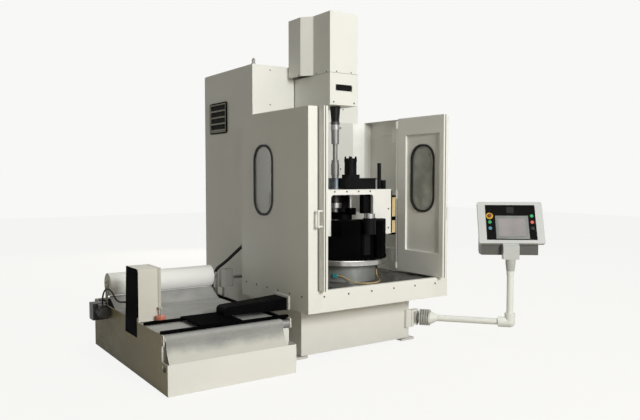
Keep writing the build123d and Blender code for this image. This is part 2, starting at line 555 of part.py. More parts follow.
# Clamp rod with the arm and ring that press on the work round the tool.
RING_Z = 1150.0
with BuildPart() as clamp_rod:
    rod((CLAMP_X, CLAMP_Y, RING_Z), (0, 0, 1), CLAMP_R, 1550 - RING_Z)
    block(CLAMP_X - 35, CLAMP_X + 35, CLAMP_Y - 35, CLAMP_Y + 30, RING_Z, RING_Z + 60)
    arm_len = math.hypot(CLAMP_X, CLAMP_Y - SPINDLE_Y)
    arm_dir = (-CLAMP_X / arm_len, (SPINDLE_Y - CLAMP_Y) / arm_len, 0)
    with BuildSketch(Plane((CLAMP_X, CLAMP_Y, RING_Z), x_dir=arm_dir, z_dir=(0, 0, 1))) as arm:
        Circle(32)
        with Locations((arm_len / 2, 0)):
            Rectangle(arm_len, 44)
        with Locations((arm_len, 0)):
            Circle(62)
            Circle(43, mode=Mode.SUBTRACT)
    extrude(arm.sketch, amount=22)
    tube((0, SPINDLE_Y, RING_Z - 40), (0, 0, 1), 54, 43, 40)
clamp_rod.part.label = "clamp_rod"
export_step(clamp_rod.part, "parts/clamp_rod.step")

# Pocket doors: each hangs on a post whose carriages run along the wall rails.
DOOR_BACK = DOOR_PIVOT_Y - 24
DOOR_FRONT = -1273.5
DOOR_MID_Y = 0.5 * (DOOR_BACK + DOOR_FRONT)
RECESS_BACK = -790.0
RECESS_FRONT = -1224.0
RECESS_LOW = 822.0
RECESS_HIGH = 1862.0
PORT_Y = -995.5
PORT_Z = 1473.0
PORT_W = 303.0
PORT_H = 600.0
PORT_R = 135.0
PORT_SEAL = 18.0
RECESS_T = 20.0
KNUCKLES = ((640.0, 690.0), (1280.0, 1360.0), (1930.0, 1996.0))


def span(a, b):
    """The two values in rising order."""
    return (min(a, b), max(a, b))


def door_carriage(sx):
    """Post and its two rail carriages."""
    pivot = sx * DOOR_PIVOT_X
    rail_face = sx * (TRAY_HALF - WALL_SHEET - 40)
    rod((pivot, DOOR_PIVOT_Y, 632), (0, 0, 1), DOOR_POST_R, 1998 - 632)
    for z_rail in (RAIL_LOW, RAIL_HIGH):
        near = span(pivot - sx * 10, rail_face - sx * 0.5)
        grip = span(rail_face - sx * 1, rail_face + sx * 24)
        block(near[0], near[1], DOOR_PIVOT_Y - 20, DOOR_PIVOT_Y + 75, z_rail - 85, z_rail + RAIL_H + 14)
        block(grip[0], grip[1], DOOR_PIVOT_Y - 20, DOOR_PIVOT_Y + 20, z_rail - 14, z_rail - 0.3)
        block(grip[0], grip[1], DOOR_PIVOT_Y - 20, DOOR_PIVOT_Y + 20,
              z_rail + RAIL_H + 0.3, z_rail + RAIL_H + 14)


def door_leaf(sx):
    """Hollow sheet leaf with a recessed inner panel, a window cut-out, knuckles and a pull handle."""
    pivot = sx * DOOR_PIVOT_X
    outer = pivot + sx * DOOR_T / 2
    inner = pivot - sx * DOOR_T / 2
    full = span(outer, inner)
    block(full[0], full[1], DOOR_FRONT, DOOR_BACK, DOOR_Z, DOOR_TOP)
    block(full[0] + 3, full[1] - 3, DOOR_FRONT + 3, DOOR_BACK - 3, DOOR_Z + 3, DOOR_TOP - 3, Mode.SUBTRACT)
    pan = span(inner, inner + sx * (RECESS_T + 3))
    block(pan[0], pan[1], RECESS_FRONT - 3, RECESS_BACK + 3, RECESS_LOW - 3, RECESS_HIGH + 3)
    pocket = span(inner - sx * 1, inner + sx * RECESS_T)
    block(pocket[0], pocket[1], RECESS_FRONT, RECESS_BACK, RECESS_LOW, RECESS_HIGH, Mode.SUBTRACT)
    rounded(side_plane(inner - sx, PORT_Y, PORT_Z, sx), PORT_W - 2 * SEAL_LAP, PORT_H - 2 * SEAL_LAP,
            PORT_R - SEAL_LAP, DOOR_T + 2, Mode.SUBTRACT)
    for z0, z1 in KNUCKLES:
        block(pivot - 9, pivot + 9, DOOR_BACK - 1, DOOR_PIVOT_Y, z0, z1)
        rod((pivot, DOOR_PIVOT_Y, z0), (0, 0, 1), DOOR_POST_R + 8, z1 - z0)
        rod((pivot, DOOR_PIVOT_Y, z0 - 1), (0, 0, 1), DOOR_POST_R + SLIDE_FIT, z1 - z0 + 2, Mode.SUBTRACT)
    for z_leg in (1112, 1229):
        rod((outer - sx * 2, DOOR_FRONT + 22, z_leg), (sx, 0, 0), 7, 40)
    rod((outer + sx * 36, DOOR_FRONT + 22, 1103), (0, 0, 1), 8, 135)


def door_pane(sx):
    """Glass sheet resting behind the outer skin."""
    skin = sx * (DOOR_PIVOT_X + DOOR_T / 2 - 3)
    rounded(side_plane(skin, PORT_Y, PORT_Z, -sx), PORT_W + 6, PORT_H + 6, PORT_R, 6)


def door_seal(sx):
    """Black rubber frame pressed round the window."""
    floor = sx * (DOOR_PIVOT_X - DOOR_T / 2 + RECESS_T)
    skin = sx * (DOOR_PIVOT_X + DOOR_T / 2)
    lip_w = PORT_W - 2 * SEAL_LAP
    lip_h = PORT_H - 2 * SEAL_LAP
    lip_r = PORT_R - SEAL_LAP
    lip = PORT_SEAL - SEAL_LAP
    rounded_ring(side_plane(floor, PORT_Y, PORT_Z, -sx), PORT_W, PORT_H, PORT_R, PORT_SEAL, 9)
    rounded_ring(side_plane(floor, PORT_Y, PORT_Z, sx), lip_w, lip_h, lip_r, lip, 7)
    rounded_ring(side_plane(skin, PORT_Y, PORT_Z, sx), PORT_W, PORT_H, PORT_R, PORT_SEAL, 3)
    rounded_ring(side_plane(skin, PORT_Y, PORT_Z, -sx), lip_w, lip_h, lip_r, lip, 3)


with BuildPart() as left_door_carriage:
    door_carriage(-1)
left_door_carriage.part.label = "left_door_carriage"
export_step(left_door_carriage.part, "parts/left_door_carriage.step")

with BuildPart() as right_door_carriage:
    door_carriage(1)
right_door_carriage.part.label = "right_door_carriage"
export_step(right_door_carriage.part, "parts/right_door_carriage.step")

with BuildPart() as left_door_leaf:
    door_leaf(-1)
left_door_leaf.part.label = "left_door_leaf"
export_step(left_door_leaf.part, "parts/left_door_leaf.step")

with BuildPart() as right_door_leaf:
    door_leaf(1)
right_door_leaf.part.label = "right_door_leaf"
export_step(right_door_leaf.part, "parts/right_door_leaf.step")

with BuildPart() as left_door_pane:
    door_pane(-1)
left_door_pane.part.label = "left_door_pane"
export_step(left_door_pane.part, "parts/left_door_pane.step")

with BuildPart() as right_door_pane:
    door_pane(1)
right_door_pane.part.label = "right_door_pane"
export_step(right_door_pane.part, "parts/right_door_pane.step")

with BuildPart() as left_door_seal:
    door_seal(-1)
left_door_seal.part.label = "left_door_seal"
export_step(left_door_seal.part, "parts/left_door_seal.step")

with BuildPart() as right_door_seal:
    door_seal(1)
right_door_seal.part.label = "right_door_seal"
export_step(right_door_seal.part, "parts/right_door_seal.step")

# Pendant: swinging arm on the pedestal's front corner, turning control panel.
ELBOW_X = HINGE_X + 530.0
ELBOW_Y = HINGE_Y - 633.0
ELBOW_R = 45.0
POST_TOP = 767.0
BOOT_START = 38.0
BOOT_LEN = 100.0
BOOT_RIBS = 5
ARM_LEN = math.hypot(ELBOW_X - HINGE_X, ELBOW_Y - HINGE_Y)
ARM_DIR = ((ELBOW_X - HINGE_X) / ARM_LEN, (ELBOW_Y - HINGE_Y) / ARM_LEN, 0)


def along_arm(distance, z=ARM_Z):
    """Point on the arm's centre line, measured from its hinge."""
    return (HINGE_X + distance * ARM_DIR[0], HINGE_Y + distance * ARM_DIR[1], z)


with BuildPart() as pendant_arm:
    tube((HINGE_X, HINGE_Y, ARM_Z - 53.5), (0, 0, 1), 30, 12 + SLIDE_FIT, 107)
    rod(along_arm(22), ARM_DIR, 34, BOOT_START - 20)
    rod(along_arm(BOOT_START), ARM_DIR, 58, BOOT_LEN)
    for n in range(BOOT_RIBS):
        rod(along_arm(BOOT_START + 2 + n * BOOT_LEN / BOOT_RIBS), ARM_DIR, 73, 0.6 * BOOT_LEN / BOOT_RIBS)
    cone(along_arm(BOOT_START + BOOT_LEN - 1), ARM_DIR, 60, 30, 56)
    rod(along_arm(BOOT_START + BOOT_LEN + 50), ARM_DIR, 28.5, ARM_LEN - BOOT_START - BOOT_LEN - 50)
    rod(along_arm(ARM_LEN - 100), ARM_DIR, ELBOW_R, 100)
    with BuildSketch(Plane((ELBOW_X, ELBOW_Y, ARM_Z), x_dir=(1, 0, 0), z_dir=(0, -1, 0))) as ball:
        Circle(ELBOW_R)
        with Locations((-ELBOW_R, 0)):
            Rectangle(2 * ELBOW_R, 2 * ELBOW_R, mode=Mode.SUBTRACT)
    revolve(ball.sketch, Axis((ELBOW_X, ELBOW_Y, ARM_Z), (0, 0, 1)), 360)
    rod((ELBOW_X, ELBOW_Y, ARM_Z), (0, 0, 1), ELBOW_R, 82)
    rod((ELBOW_X, ELBOW_Y, ARM_Z + 70), (0, 0, 1), 29, 628 - ARM_Z - 70)
    rod((ELBOW_X, ELBOW_Y, 626), (0, 0, 1), 33, 44)
    cone((ELBOW_X, ELBOW_Y, 668), (0, 0, 1), 35, 43, POST_TOP - 700)
    rod((ELBOW_X, ELBOW_Y, POST_TOP - 33), (0, 0, 1), 43, 33)
    rod((ELBOW_X, ELBOW_Y, POST_TOP - 1), (0, 0, 1), 15, 50)
pendant_arm.part.label = "pendant_arm"
export_step(pendant_arm.part, "parts/pendant_arm.step")

# Control panel, drawn in its own tilted plane.
PANEL_YAW = math.radians(38)
PANEL_TILT = math.radians(25)
PANEL_RIGHT = (math.cos(PANEL_YAW), -math.sin(PANEL_YAW), 0)
PANEL_REAR = (math.sin(PANEL_YAW), math.cos(PANEL_YAW), 0)
PANEL_LEAN = math.cos(PANEL_TILT)
PANEL_NORMAL = (-PANEL_REAR[0] * PANEL_LEAN, -PANEL_REAR[1] * PANEL_LEAN, math.sin(PANEL_TILT))
PANEL_CENTRE = (ELBOW_X + 49.5, ELBOW_Y + 43.6, POST_TOP + 318.0)
PANEL_W = 564.0
PANEL_H = 391.0
PANEL_T = 40.0
FACE_W = 433.0
FACE_H = 328.0
SCREEN_W = 290.0
SCREEN_H = 221.0
SCREEN_X = 9.0
SCREEN_Y = -46.0
FACE_RISE = 1.5
CONTROL_X = 183.0
BUTTON_R = 15.0
BUTTON_FIT = 0.35
BUTTON_RISE = 7.0
BUTTON_SINK = 5.0
STEM_R = 8.0
PANEL = Plane(PANEL_CENTRE, x_dir=PANEL_RIGHT, z_dir=PANEL_NORMAL)


def panel_at(x, y, height):
    """Plane parallel to the panel face at a spot on it."""
    spot = PANEL.from_local_coords(Vector(x, y, height))
    return Plane(spot, x_dir=PANEL_RIGHT, z_dir=PANEL_NORMAL)


def panel_disc(x, y, height, radius, length, mode=Mode.ADD):
    """Round boss or hole square to the panel face."""
    with BuildSketch(panel_at(x, y, height)) as disc:
        Circle(radius)
    extrude(disc.sketch, amount=length, mode=mode)


CONTROLS = [(-CONTROL_X, 58), (-CONTROL_X, 0), (-CONTROL_X, -58),
            (CONTROL_X, 58), (CONTROL_X, 0), (CONTROL_X, -58)]
SIDE = Plane((ELBOW_X, ELBOW_Y, 0), x_dir=PANEL_REAR, z_dir=(PANEL_RIGHT[0], PANEL_RIGHT[1], 0))

with BuildPart() as panel_bezel:
    rounded(panel_at(0, 0, -PANEL_T), PANEL_W, PANEL_H, 12, PANEL_T)
    rounded(panel_at(0, 0, -PANEL_T - 1), PANEL_W - 30, PANEL_H - 30, 8, PANEL_T - 15, Mode.SUBTRACT)
    rounded(panel_at(0, 0, -1), FACE_W, FACE_H, 3, 1 + FACE_RISE)
    rounded(panel_at(SCREEN_X, SCREEN_Y, -1.5), SCREEN_W, SCREEN_H, 3, 4, Mode.SUBTRACT)
    rounded(panel_at(0, 114, 0), 64, 58, 3, FACE_RISE + 3)
    panel_disc(-CONTROL_X, 58, 0, 30, FACE_RISE + 4)
    for cx, cy in CONTROLS[1:]:
        panel_disc(cx, cy, 0, BUTTON_R + 4.5, FACE_RISE + 1.5)
        panel_disc(cx, cy, -BUTTON_SINK - 4, BUTTON_R + BUTTON_FIT, 20, Mode.SUBTRACT)
        panel_disc(cx, cy, -PANEL_T, STEM_R + SLIDE_FIT, 50, Mode.SUBTRACT)
    panel_disc(-CONTROL_X, 58, -PANEL_T, 12 + SLIDE_FIT, 60, Mode.SUBTRACT)
    prism(SIDE.offset(-69), [
        (-35, POST_TOP + 0.5), (36, POST_TOP + 0.5), (36, POST_TOP + 122), (-35, POST_TOP + 122)], 138)
    prism(SIDE.offset(-69), [
        (-12, POST_TOP + 119), (14, POST_TOP + 119), (14, POST_TOP + 139), (-12, POST_TOP + 145)], 138)
    rod((ELBOW_X, ELBOW_Y, POST_TOP - 1), (0, 0, 1), 15 + SLIDE_FIT, 60, Mode.SUBTRACT)
panel_bezel.part.label = "panel_bezel"
export_step(panel_bezel.part, "parts/panel_bezel.step")

# Dark box behind the bezel, hanging lower than it.
BACK_FOOT = 36.0
with BuildPart() as panel_housing:
    for inset, half, mode in ((0, 245, Mode.ADD), (3, 242, Mode.SUBTRACT)):
        bezel_back = POST_TOP + 127.0 + (BACK_FOOT - 16.4) / math.tan(PANEL_TILT)
        slope = 1 / math.tan(PANEL_TILT)
        prism(SIDE.offset(-half), [
            (BACK_FOOT + inset, POST_TOP + 32 + inset), (170 - inset, POST_TOP + 32 + inset),
            (200 - inset, POST_TOP + 59 + inset), (200 - inset, POST_TOP + 399 - inset),
            (160, bezel_back + 124 * slope - 3.4 * inset),
            (BACK_FOOT + inset, bezel_back - 1.2 * inset)], 2 * half, mode)
    with BuildSketch(panel_at(0, 0, -PANEL_T)) as back:
        Rectangle(PANEL_W * 2, PANEL_H * 2)
    extrude(back.sketch, amount=300, mode=Mode.SUBTRACT)
    gland = (ELBOW_X + 150 * PANEL_REAR[0], ELBOW_Y + 150 * PANEL_REAR[1], POST_TOP + 29)
    rod(gland, (0, 0, 1), 14, 10, Mode.SUBTRACT)
panel_housing.part.label = "panel_housing"
export_step(panel_housing.part, "parts/panel_housing.step")


def push_button(x, y):
    """Flat button sunk in the bezel on a stem."""
    panel_disc(x, y, -BUTTON_SINK, BUTTON_R, BUTTON_SINK + BUTTON_RISE)
    panel_disc(x, y, -22, STEM_R, 22)


with BuildPart() as emergency_stop:
    panel_disc(-CONTROL_X, 58, -22, 12, 36)
    panel_disc(-CONTROL_X, 58, 13, 16, 10)
    panel_disc(-CONTROL_X, 58, 23, 12, 4)
emergency_stop.part.label = "emergency_stop"
export_step(emergency_stop.part, "parts/emergency_stop.step")

with BuildPart() as left_green_button:
    push_button(*CONTROLS[1])
left_green_button.part.label = "left_green_button"
export_step(left_green_button.part, "parts/left_green_button.step")

with BuildPart() as left_blue_button:
    push_button(*CONTROLS[2])
left_blue_button.part.label = "left_blue_button"
export_step(left_blue_button.part, "parts/left_blue_button.step")

with BuildPart() as right_green_button:
    push_button(*CONTROLS[3])
right_green_button.part.label = "right_green_button"
export_step(right_green_button.part, "parts/right_green_button.step")

with BuildPart() as right_red_button:
    push_button(*CONTROLS[4])
right_red_button.part.label = "right_red_button"
export_step(right_red_button.part, "parts/right_red_button.step")

with BuildPart() as selector_switch:
    push_button(*CONTROLS[5])
    rounded(panel_at(CONTROLS[5][0], CONTROLS[5][1], BUTTON_RISE), 9, 27, 3, 10)
selector_switch.part.label = "selector_switch"
export_step(selector_switch.part, "parts/selector_switch.step")

# Paper-band coolant filter standing beside the machine.
TANK_X0 = -1815.0
TANK_X1 = -795.0
TANK_FRONT = -1140.0
TIER_Y = -1032.0
TANK_BACK = 600.0
BIN_TOP = 218.0
TANK_TOP = 405.0
TANK_SHEET = 4.0
ROLL_Y = 250.0
ROLL_Z = 578.0
ROLL_R = 95.0
ROLL_X0 = TANK_X0 + 13.0
ROLL_X1 = TANK_X1 - 69.0
ROLLER_Y = -1040.0
ROLLER_Z = 366.0
ROLLER_R = 30.0
WEB_T = 1.6
WEB_GAP = 0.4
BED_TOP = ROLLER_Z + ROLLER_R + WEB_GAP
ALONG_X = (1, 0, 0)

with BuildPart() as filter_tank:
    block(TANK_X0, TANK_X1, TIER_Y, TANK_BACK, 0, TANK_TOP)
    block(TANK_X0, TANK_X1, TANK_FRONT, TIER_Y, 0, BIN_TOP)
    block(TANK_X0 + TANK_SHEET, TANK_X1 - TANK_SHEET, TIER_Y + TANK_SHEET, TANK_BACK - TANK_SHEET,
          5, TANK_TOP + 1, Mode.SUBTRACT)
    block(TANK_X0 + TANK_SHEET, TANK_X1 - TANK_SHEET, TANK_FRONT + TANK_SHEET, TIER_Y, 5, BIN_TOP + 1,
          Mode.SUBTRACT)
    block(TANK_X0 + TANK_SHEET, TANK_X1 - TANK_SHEET, TIER_Y - 1, TIER_Y + TANK_SHEET + 1, ROLLER_Z - 40,
          TANK_TOP + 1, Mode.SUBTRACT)
    for x_ear in (TANK_X0, TANK_X1 - 8):
        block(x_ear, x_ear + 8, ROLLER_Y - 26, TIER_Y + 30, ROLLER_Z - 34, TANK_TOP)
        block(x_ear, x_ear + 8, ROLL_Y - 24, ROLL_Y + 24, BED_TOP, ROLL_Z + 24)
    rod((TANK_X0 - 1, ROLLER_Y, ROLLER_Z), ALONG_X, 10 + SLIDE_FIT, TANK_X1 - TANK_X0 + 2, Mode.SUBTRACT)
    rod((TANK_X0 - 1, ROLL_Y, ROLL_Z), ALONG_X, 15 + SLIDE_FIT, TANK_X1 - TANK_X0 + 2, Mode.SUBTRACT)
    bin_mid = 0.5 * (TANK_FRONT + TIER_Y)
    rounded(side_plane(TANK_X0 + 10, bin_mid + 14, 174, -1), 72, 42, 16, 20, Mode.SUBTRACT)
filter_tank.part.label = "filter_tank"
export_step(filter_tank.part, "parts/filter_tank.step")

# Bed under the paper with two cross bars and the tray that carries the chute.
BAR_Y = (-1015.0, -680.0)
CHUTE_Z = 435.0
PAN_X0 = -1530.0
PAN_X1 = -1195.0
with BuildPart() as filter_bed:
    block(TANK_X0 + TANK_SHEET, TANK_X1 - TANK_SHEET, TIER_Y + 32, TANK_BACK - 30, BED_TOP - 8, BED_TOP)
    for y_bar in BAR_Y:
        block(TANK_X0, TANK_X1, y_bar - 13, y_bar + 13, TANK_TOP, TANK_TOP + 20)
    block(PAN_X0, PAN_X1, BAR_Y[0] - 13, BAR_Y[1] + 13, TANK_TOP + 20, CHUTE_Z)
filter_bed.part.label = "filter_bed"
export_step(filter_bed.part, "parts/filter_bed.step")

# Paper: from under the roll, along the bed, over the front roller and down into the bin.
WEB_LOW = 226.0
with BuildPart() as paper_web:
    inner = ROLLER_R + WEB_GAP
    outer = inner + WEB_T
    with BuildSketch(Plane((ROLL_X0 + 4, 0, 0), x_dir=(0, 1, 0), z_dir=(1, 0, 0))) as web:
        with BuildLine():
            low = Line((60, BED_TOP), (ROLLER_Y, BED_TOP))
            CenterArc((ROLLER_Y, ROLLER_Z), inner, 90, 90)
            Line((ROLLER_Y - inner, ROLLER_Z), (ROLLER_Y - inner, WEB_LOW))
            Line((ROLLER_Y - inner, WEB_LOW), (ROLLER_Y - outer, WEB_LOW))
            Line((ROLLER_Y - outer, WEB_LOW), (ROLLER_Y - outer, ROLLER_Z))
            CenterArc((ROLLER_Y, ROLLER_Z), outer, 90, 90)
            Line((ROLLER_Y, BED_TOP + WEB_T), (60 - 0.8, BED_TOP + WEB_T))
            Line((60 - 0.8, BED_TOP + WEB_T), (ROLL_Y - 36, ROLL_Z - ROLL_R + 2.5))
            Line((ROLL_Y - 36, ROLL_Z - ROLL_R + 2.5), (ROLL_Y - 34, ROLL_Z - ROLL_R))
            Line((ROLL_Y - 34, ROLL_Z - ROLL_R), (60, BED_TOP))
        make_face()
    extrude(web.sketch, amount=ROLL_X1 - ROLL_X0 - 8)
paper_web.part.label = "paper_web"
export_step(paper_web.part, "parts/paper_web.step")

with BuildPart() as paper_roll:
    tube((ROLL_X0, ROLL_Y, ROLL_Z), ALONG_X, ROLL_R, 34, ROLL_X1 - ROLL_X0)
    for x_plug in (ROLL_X0 + 18, ROLL_X1 - 38):
        rod((x_plug, ROLL_Y, ROLL_Z), ALONG_X, 34, 20)
    rod((TANK_X0, ROLL_Y, ROLL_Z), ALONG_X, 15, TANK_X1 - TANK_X0)
paper_roll.part.label = "paper_roll"
export_step(paper_roll.part, "parts/paper_roll.step")

with BuildPart() as front_roller:
    rod((TANK_X0 + 12, ROLLER_Y, ROLLER_Z), ALONG_X, ROLLER_R, TANK_X1 - TANK_X0 - 24)
    rod((TANK_X0, ROLLER_Y, ROLLER_Z), ALONG_X, 10, TANK_X1 - TANK_X0)
front_roller.part.label = "front_roller"
export_step(front_roller.part, "parts/front_roller.step")

# Drive box on the tank's left rim, with the float's guide pin in front of it.
BOX_X1 = -1640.0
BOX_Y0 = -565.0
BOX_Y1 = -300.0
BOX_TOP = 800.0
FLOAT_X = -1660.0
FLOAT_Y = -606.0
with BuildPart() as drive_box:
    block(TANK_X0, BOX_X1, BOX_Y0, BOX_Y1, TANK_TOP, BOX_TOP)
    block(TANK_X0 + 3, BOX_X1 - 3, BOX_Y0 + 3, BOX_Y1 - 3, TANK_TOP - 1, BOX_TOP - 3, Mode.SUBTRACT)
    prism(side_plane(TANK_X0, 0, 0, -1), [
        (-BOX_Y0 - 42, 285), (-BOX_Y0 - 42, TANK_TOP + 20), (-BOX_Y0, TANK_TOP + 40), (-BOX_Y0, BOX_TOP - 30),
        (-BOX_Y0 - 30, BOX_TOP), (-BOX_Y1, BOX_TOP), (-BOX_Y1 - 40, 285)], 4)
    block(FLOAT_X - 12, FLOAT_X + 10, FLOAT_Y - 10, BOX_Y0, 500, 508)
    rod((FLOAT_X, FLOAT_Y, TANK_TOP + 5), (0, 0, 1), 5, 103 - 5)
    rod((BOX_X1, BOX_Y0 + 60, 690), ALONG_X, 16, 6)
drive_box.part.label = "drive_box"
export_step(drive_box.part, "parts/drive_box.step")

with BuildPart() as level_float:
    tube((FLOAT_X, FLOAT_Y, TANK_TOP + 8), (0, 0, 1), 37, 5 + SLIDE_FIT, 34)
    fillet(level_float.edges().filter_by(GeomType.CIRCLE).group_by(SortBy.RADIUS)[-1], 8)
level_float.part.label = "level_float"
export_step(level_float.part, "parts/level_float.step")

# Chute: black duct narrowing and falling from the tray's side to the pan on the filter, flanged to the tray.
CHUTE_FAR = -712.0
CHUTE_NEAR = (-905.0, -850.0)
CHUTE_TOP = (530.0, 500.0)
CHUTE_END = PAN_X1 - 60.0
CHUTE_SHEET = 4.0


def duct(x0, x1, wall, mode):
    """Tapered duct between two upright sections, its faces a wall's thickness inside the outer form."""
    ends = []
    for x in (x0, x1):
        along = (-TRAY_HALF - x) / (-TRAY_HALF - CHUTE_END)
        near = CHUTE_NEAR[0] + along * (CHUTE_NEAR[1] - CHUTE_NEAR[0]) + wall
        top = CHUTE_TOP[0] + along * (CHUTE_TOP[1] - CHUTE_TOP[0]) - wall
        with BuildSketch(Plane((x, 0, 0), x_dir=(0, 1, 0), z_dir=(1, 0, 0))) as end:
            with BuildLine():
                Polyline((near, CHUTE_Z + wall), (CHUTE_FAR - wall, CHUTE_Z + wall), (CHUTE_FAR - wall, top),
                         (near, top), close=True)
            make_face()
        ends.append(end.sketch.face())
    loft(ends, ruled=True, mode=mode)


with BuildPart() as coolant_chute:
    duct(-TRAY_HALF, CHUTE_END, 0, Mode.ADD)
    prism(Plane((0, CHUTE_FAR + 1, 0), x_dir=(1, 0, 0), z_dir=(0, -1, 0)), [
        (CHUTE_END - 1, CHUTE_TOP[1] - 26), (CHUTE_END, CHUTE_TOP[1] - 26),
        (CHUTE_END + 8, CHUTE_TOP[1] - 8), (CHUTE_END + 26, CHUTE_TOP[1] + 1.4),
        (CHUTE_END + 26, CHUTE_TOP[1] + 20), (CHUTE_END - 1, CHUTE_TOP[1] + 20)],
        CHUTE_FAR - CHUTE_NEAR[0] + 2, Mode.SUBTRACT)
    block(-TRAY_HALF - 10, -TRAY_HALF, CHUTE_NEAR[0] - 23, CHUTE_FAR + 12, CHUTE_Z + 4, CHUTE_TOP[0] + 16)
    duct(-TRAY_HALF + 1, CHUTE_END + 34, CHUTE_SHEET, Mode.SUBTRACT)
    block(CHUTE_END + 40, CHUTE_END + 130, CHUTE_NEAR[1] + 12, CHUTE_FAR - 12, CHUTE_Z - 1, CHUTE_Z + 5,
          Mode.SUBTRACT)
coolant_chute.part.label = "coolant_chute"
export_step(coolant_chute.part, "parts/coolant_chute.step")

# Pump with its pipe box on the tank's right rim and the pipe to the cabinet.
PUMP_X = -745.0
PUMP_Y = 470.0
HOSE_R = 15.0
HOSE_OUT = Vector(-0.37, 0.67, -0.6437)
HOSE_ROOT = Vector(-CAB_HALF - 20, 20, 885)
HOSE_SPIGOT = 50.0
HOSE_START = HOSE_ROOT + HOSE_OUT * HOSE_SPIGOT
HOSE_BEND = HOSE_START + HOSE_OUT * 110
HOSE_LAST = Vector(PUMP_X, PUMP_Y - 45, 590)
HOSE_END = Vector(PUMP_X, PUMP_Y, 440)
with BuildPart() as pump_unit:
    block(PUMP_X - 46, PUMP_X + 60, PUMP_Y - 60, PUMP_Y + 60, 0, 10)
    rod((PUMP_X, PUMP_Y, 10), (0, 0, 1), 42, 280)
    rod((PUMP_X, PUMP_Y, 290), (0, 0, 1), 48, 130)
    rod(HOSE_END, HOSE_END - HOSE_LAST, HOSE_R + 6, 34)
    rounded(Plane((-796, 60, 496)), 116, 60, 6, 157)
    block(-822, -792, 40, 80, TANK_TOP, 496)
    rod((-746, 60, 573), ALONG_X, 13, 746 - CAB_HALF)
    block(-CAB_HALF - 22, -CAB_HALF, HOSE_ROOT.Y - 34, HOSE_ROOT.Y + 34, HOSE_ROOT.Z - 34, HOSE_ROOT.Z + 34)
    rod(HOSE_ROOT, HOSE_OUT, HOSE_R + 5, HOSE_SPIGOT)
pump_unit.part.label = "pump_unit"
export_step(pump_unit.part, "parts/pump_unit.step")

# Gear motor on the tank's left side.
with BuildPart() as gear_motor:
    block(TANK_X0 - 112, TANK_X0, 250, 360, 285, 425)
    rod((TANK_X0 - 56, 360, 355), (0, 1, 0), 40, 12)
    rod((TANK_X0 - 50, 250, 362), (0, -1, 0), 44, 140)
    rod((TANK_X0 - 50, 110, 362), (0, -1, 0), 38, 16)
    for n in range(6):
        rod((TANK_X0 - 50, 240 - 20 * n, 362), (0, -1, 0), 49, 7)
    block(TANK_X0 - 80, TANK_X0 - 20, 150, 230, 400, 424)
gear_motor.part.label = "gear_motor"
export_step(gear_motor.part, "parts/gear_motor.step")


def cord(points, radius, name):
    """Round cord along straight runs joined by tangent arcs; prints its bends."""
    radii = []
    for a, b, c in zip(points, points[1:], points[2:]):
        before = Vector(b) - Vector(a)
        after = Vector(c) - Vector(b)
        turn = math.radians(before.get_angle(after))
        radii.append(0.45 * min(before.length, after.length) / math.tan(turn / 2))
    with BuildLine() as path:
        FilletPolyline(*points, radius=radii)
    line = path.wires()[0]
    with BuildSketch(Plane(line @ 0, z_dir=line % 0)) as section:
        Circle(radius)
    sweep(section.sketch, path=line)
    print(name, "radii", [round(r) for r in radii], "length", round(line.length), "section x length",
          round(math.pi * radius * radius * line.length))


with BuildPart() as coolant_hose:
    cord([HOSE_START, HOSE_BEND, Vector(PUMP_X + 30, PUMP_Y - 235, 690), HOSE_LAST, HOSE_END],
         HOSE_R, "coolant_hose")
coolant_hose.part.label = "coolant_hose"
export_step(coolant_hose.part, "parts/coolant_hose.step")
print("coolant_hose volume", round(coolant_hose.part.volume))

CABLE_R = 7.0
with BuildPart() as drive_cable:
    cord([(TANK_X0 - 50, 190, 424), (TANK_X0 - 50, 190, 500), (TANK_X0 - 40, 110, 575),
          (TANK_X0 - 26, 0, 560), (TANK_X0 - 14, -100, 480), (TANK_X0 + 40, BOX_Y1 + 105, 500),
          (TANK_X0 + 40, BOX_Y1, 500)],
         CABLE_R, "drive_cable")
drive_cable.part.label = "drive_cable"
export_step(drive_cable.part, "parts/drive_cable.step")
print("drive_cable volume", round(drive_cable.part.volume))

# Sensor lead: hangs from the left socket, lies on the plates round the drum and rises to the right socket.
LEAD_R = 4.5
LEAD_ROUTE = ((-52.37, 268.54, 655), (-42.77, 275.3, 655), (-32, 292, 630), (-23, 322, 607),
              (-13, 362, 604.6), (0, 384, 604.6), (13, 362, 604.6), (27, 326, 604.6),
              (41, 296, 604.6), (51, 278, 610), (57, 268, 642), (57, 268, 682))
with BuildPart() as sensor_lead:
    cord([drum_point(math.radians(turn), DRUM_R - 258 + radius, FLOOR_Z - 590 + z)
          for turn, radius, z in LEAD_ROUTE], LEAD_R, "sensor_lead")
sensor_lead.part.label = "sensor_lead"
export_step(sensor_lead.part, "parts/sensor_lead.step")
print("sensor_lead volume", round(sensor_lead.part.volume))

# Screws: identical button heads on the sheet metal.
SCREW_R = 7.0
SCREW_H = 3.0
with BuildPart() as panel_screws:
    for n in range(6):
        rod((-TRAY_HALF + 145 + n * (2 * TRAY_HALF - 290) / 5, TRAY_FRONT, 568), (0, -1, 0), SCREW_R, SCREW_H)
    for n in range(6):
        rod((-TRAY_HALF, TRAY_FRONT + 90 + 180 * n, 568), (-1, 0, 0), SCREW_R, SCREW_H)
    for sx in (-1, 1):
        for x_col in (214, 376):
            for z_row in (700, 1130, 1560, 1960):
                rod((sx * x_col, CAB_FRONT - 3, z_row), (0, -1, 0), SCREW_R, SCREW_H)
        for z_row in (1030, 1200):
            rod((sx * (BRIDGE_HALF - 30), BRIDGE_FRONT, z_row), (0, -1, 0), SCREW_R, SCREW_H)
        rod((sx * 110, HEAD_FRONT, HEAD_Z + 24), (0, -1, 0), SCREW_R, SCREW_H)
    for n in range(4):
        rod((-190 + 127 * n, BRIDGE_FRONT, BRIDGE_Z - 16), (0, -1, 0), SCREW_R, SCREW_H)
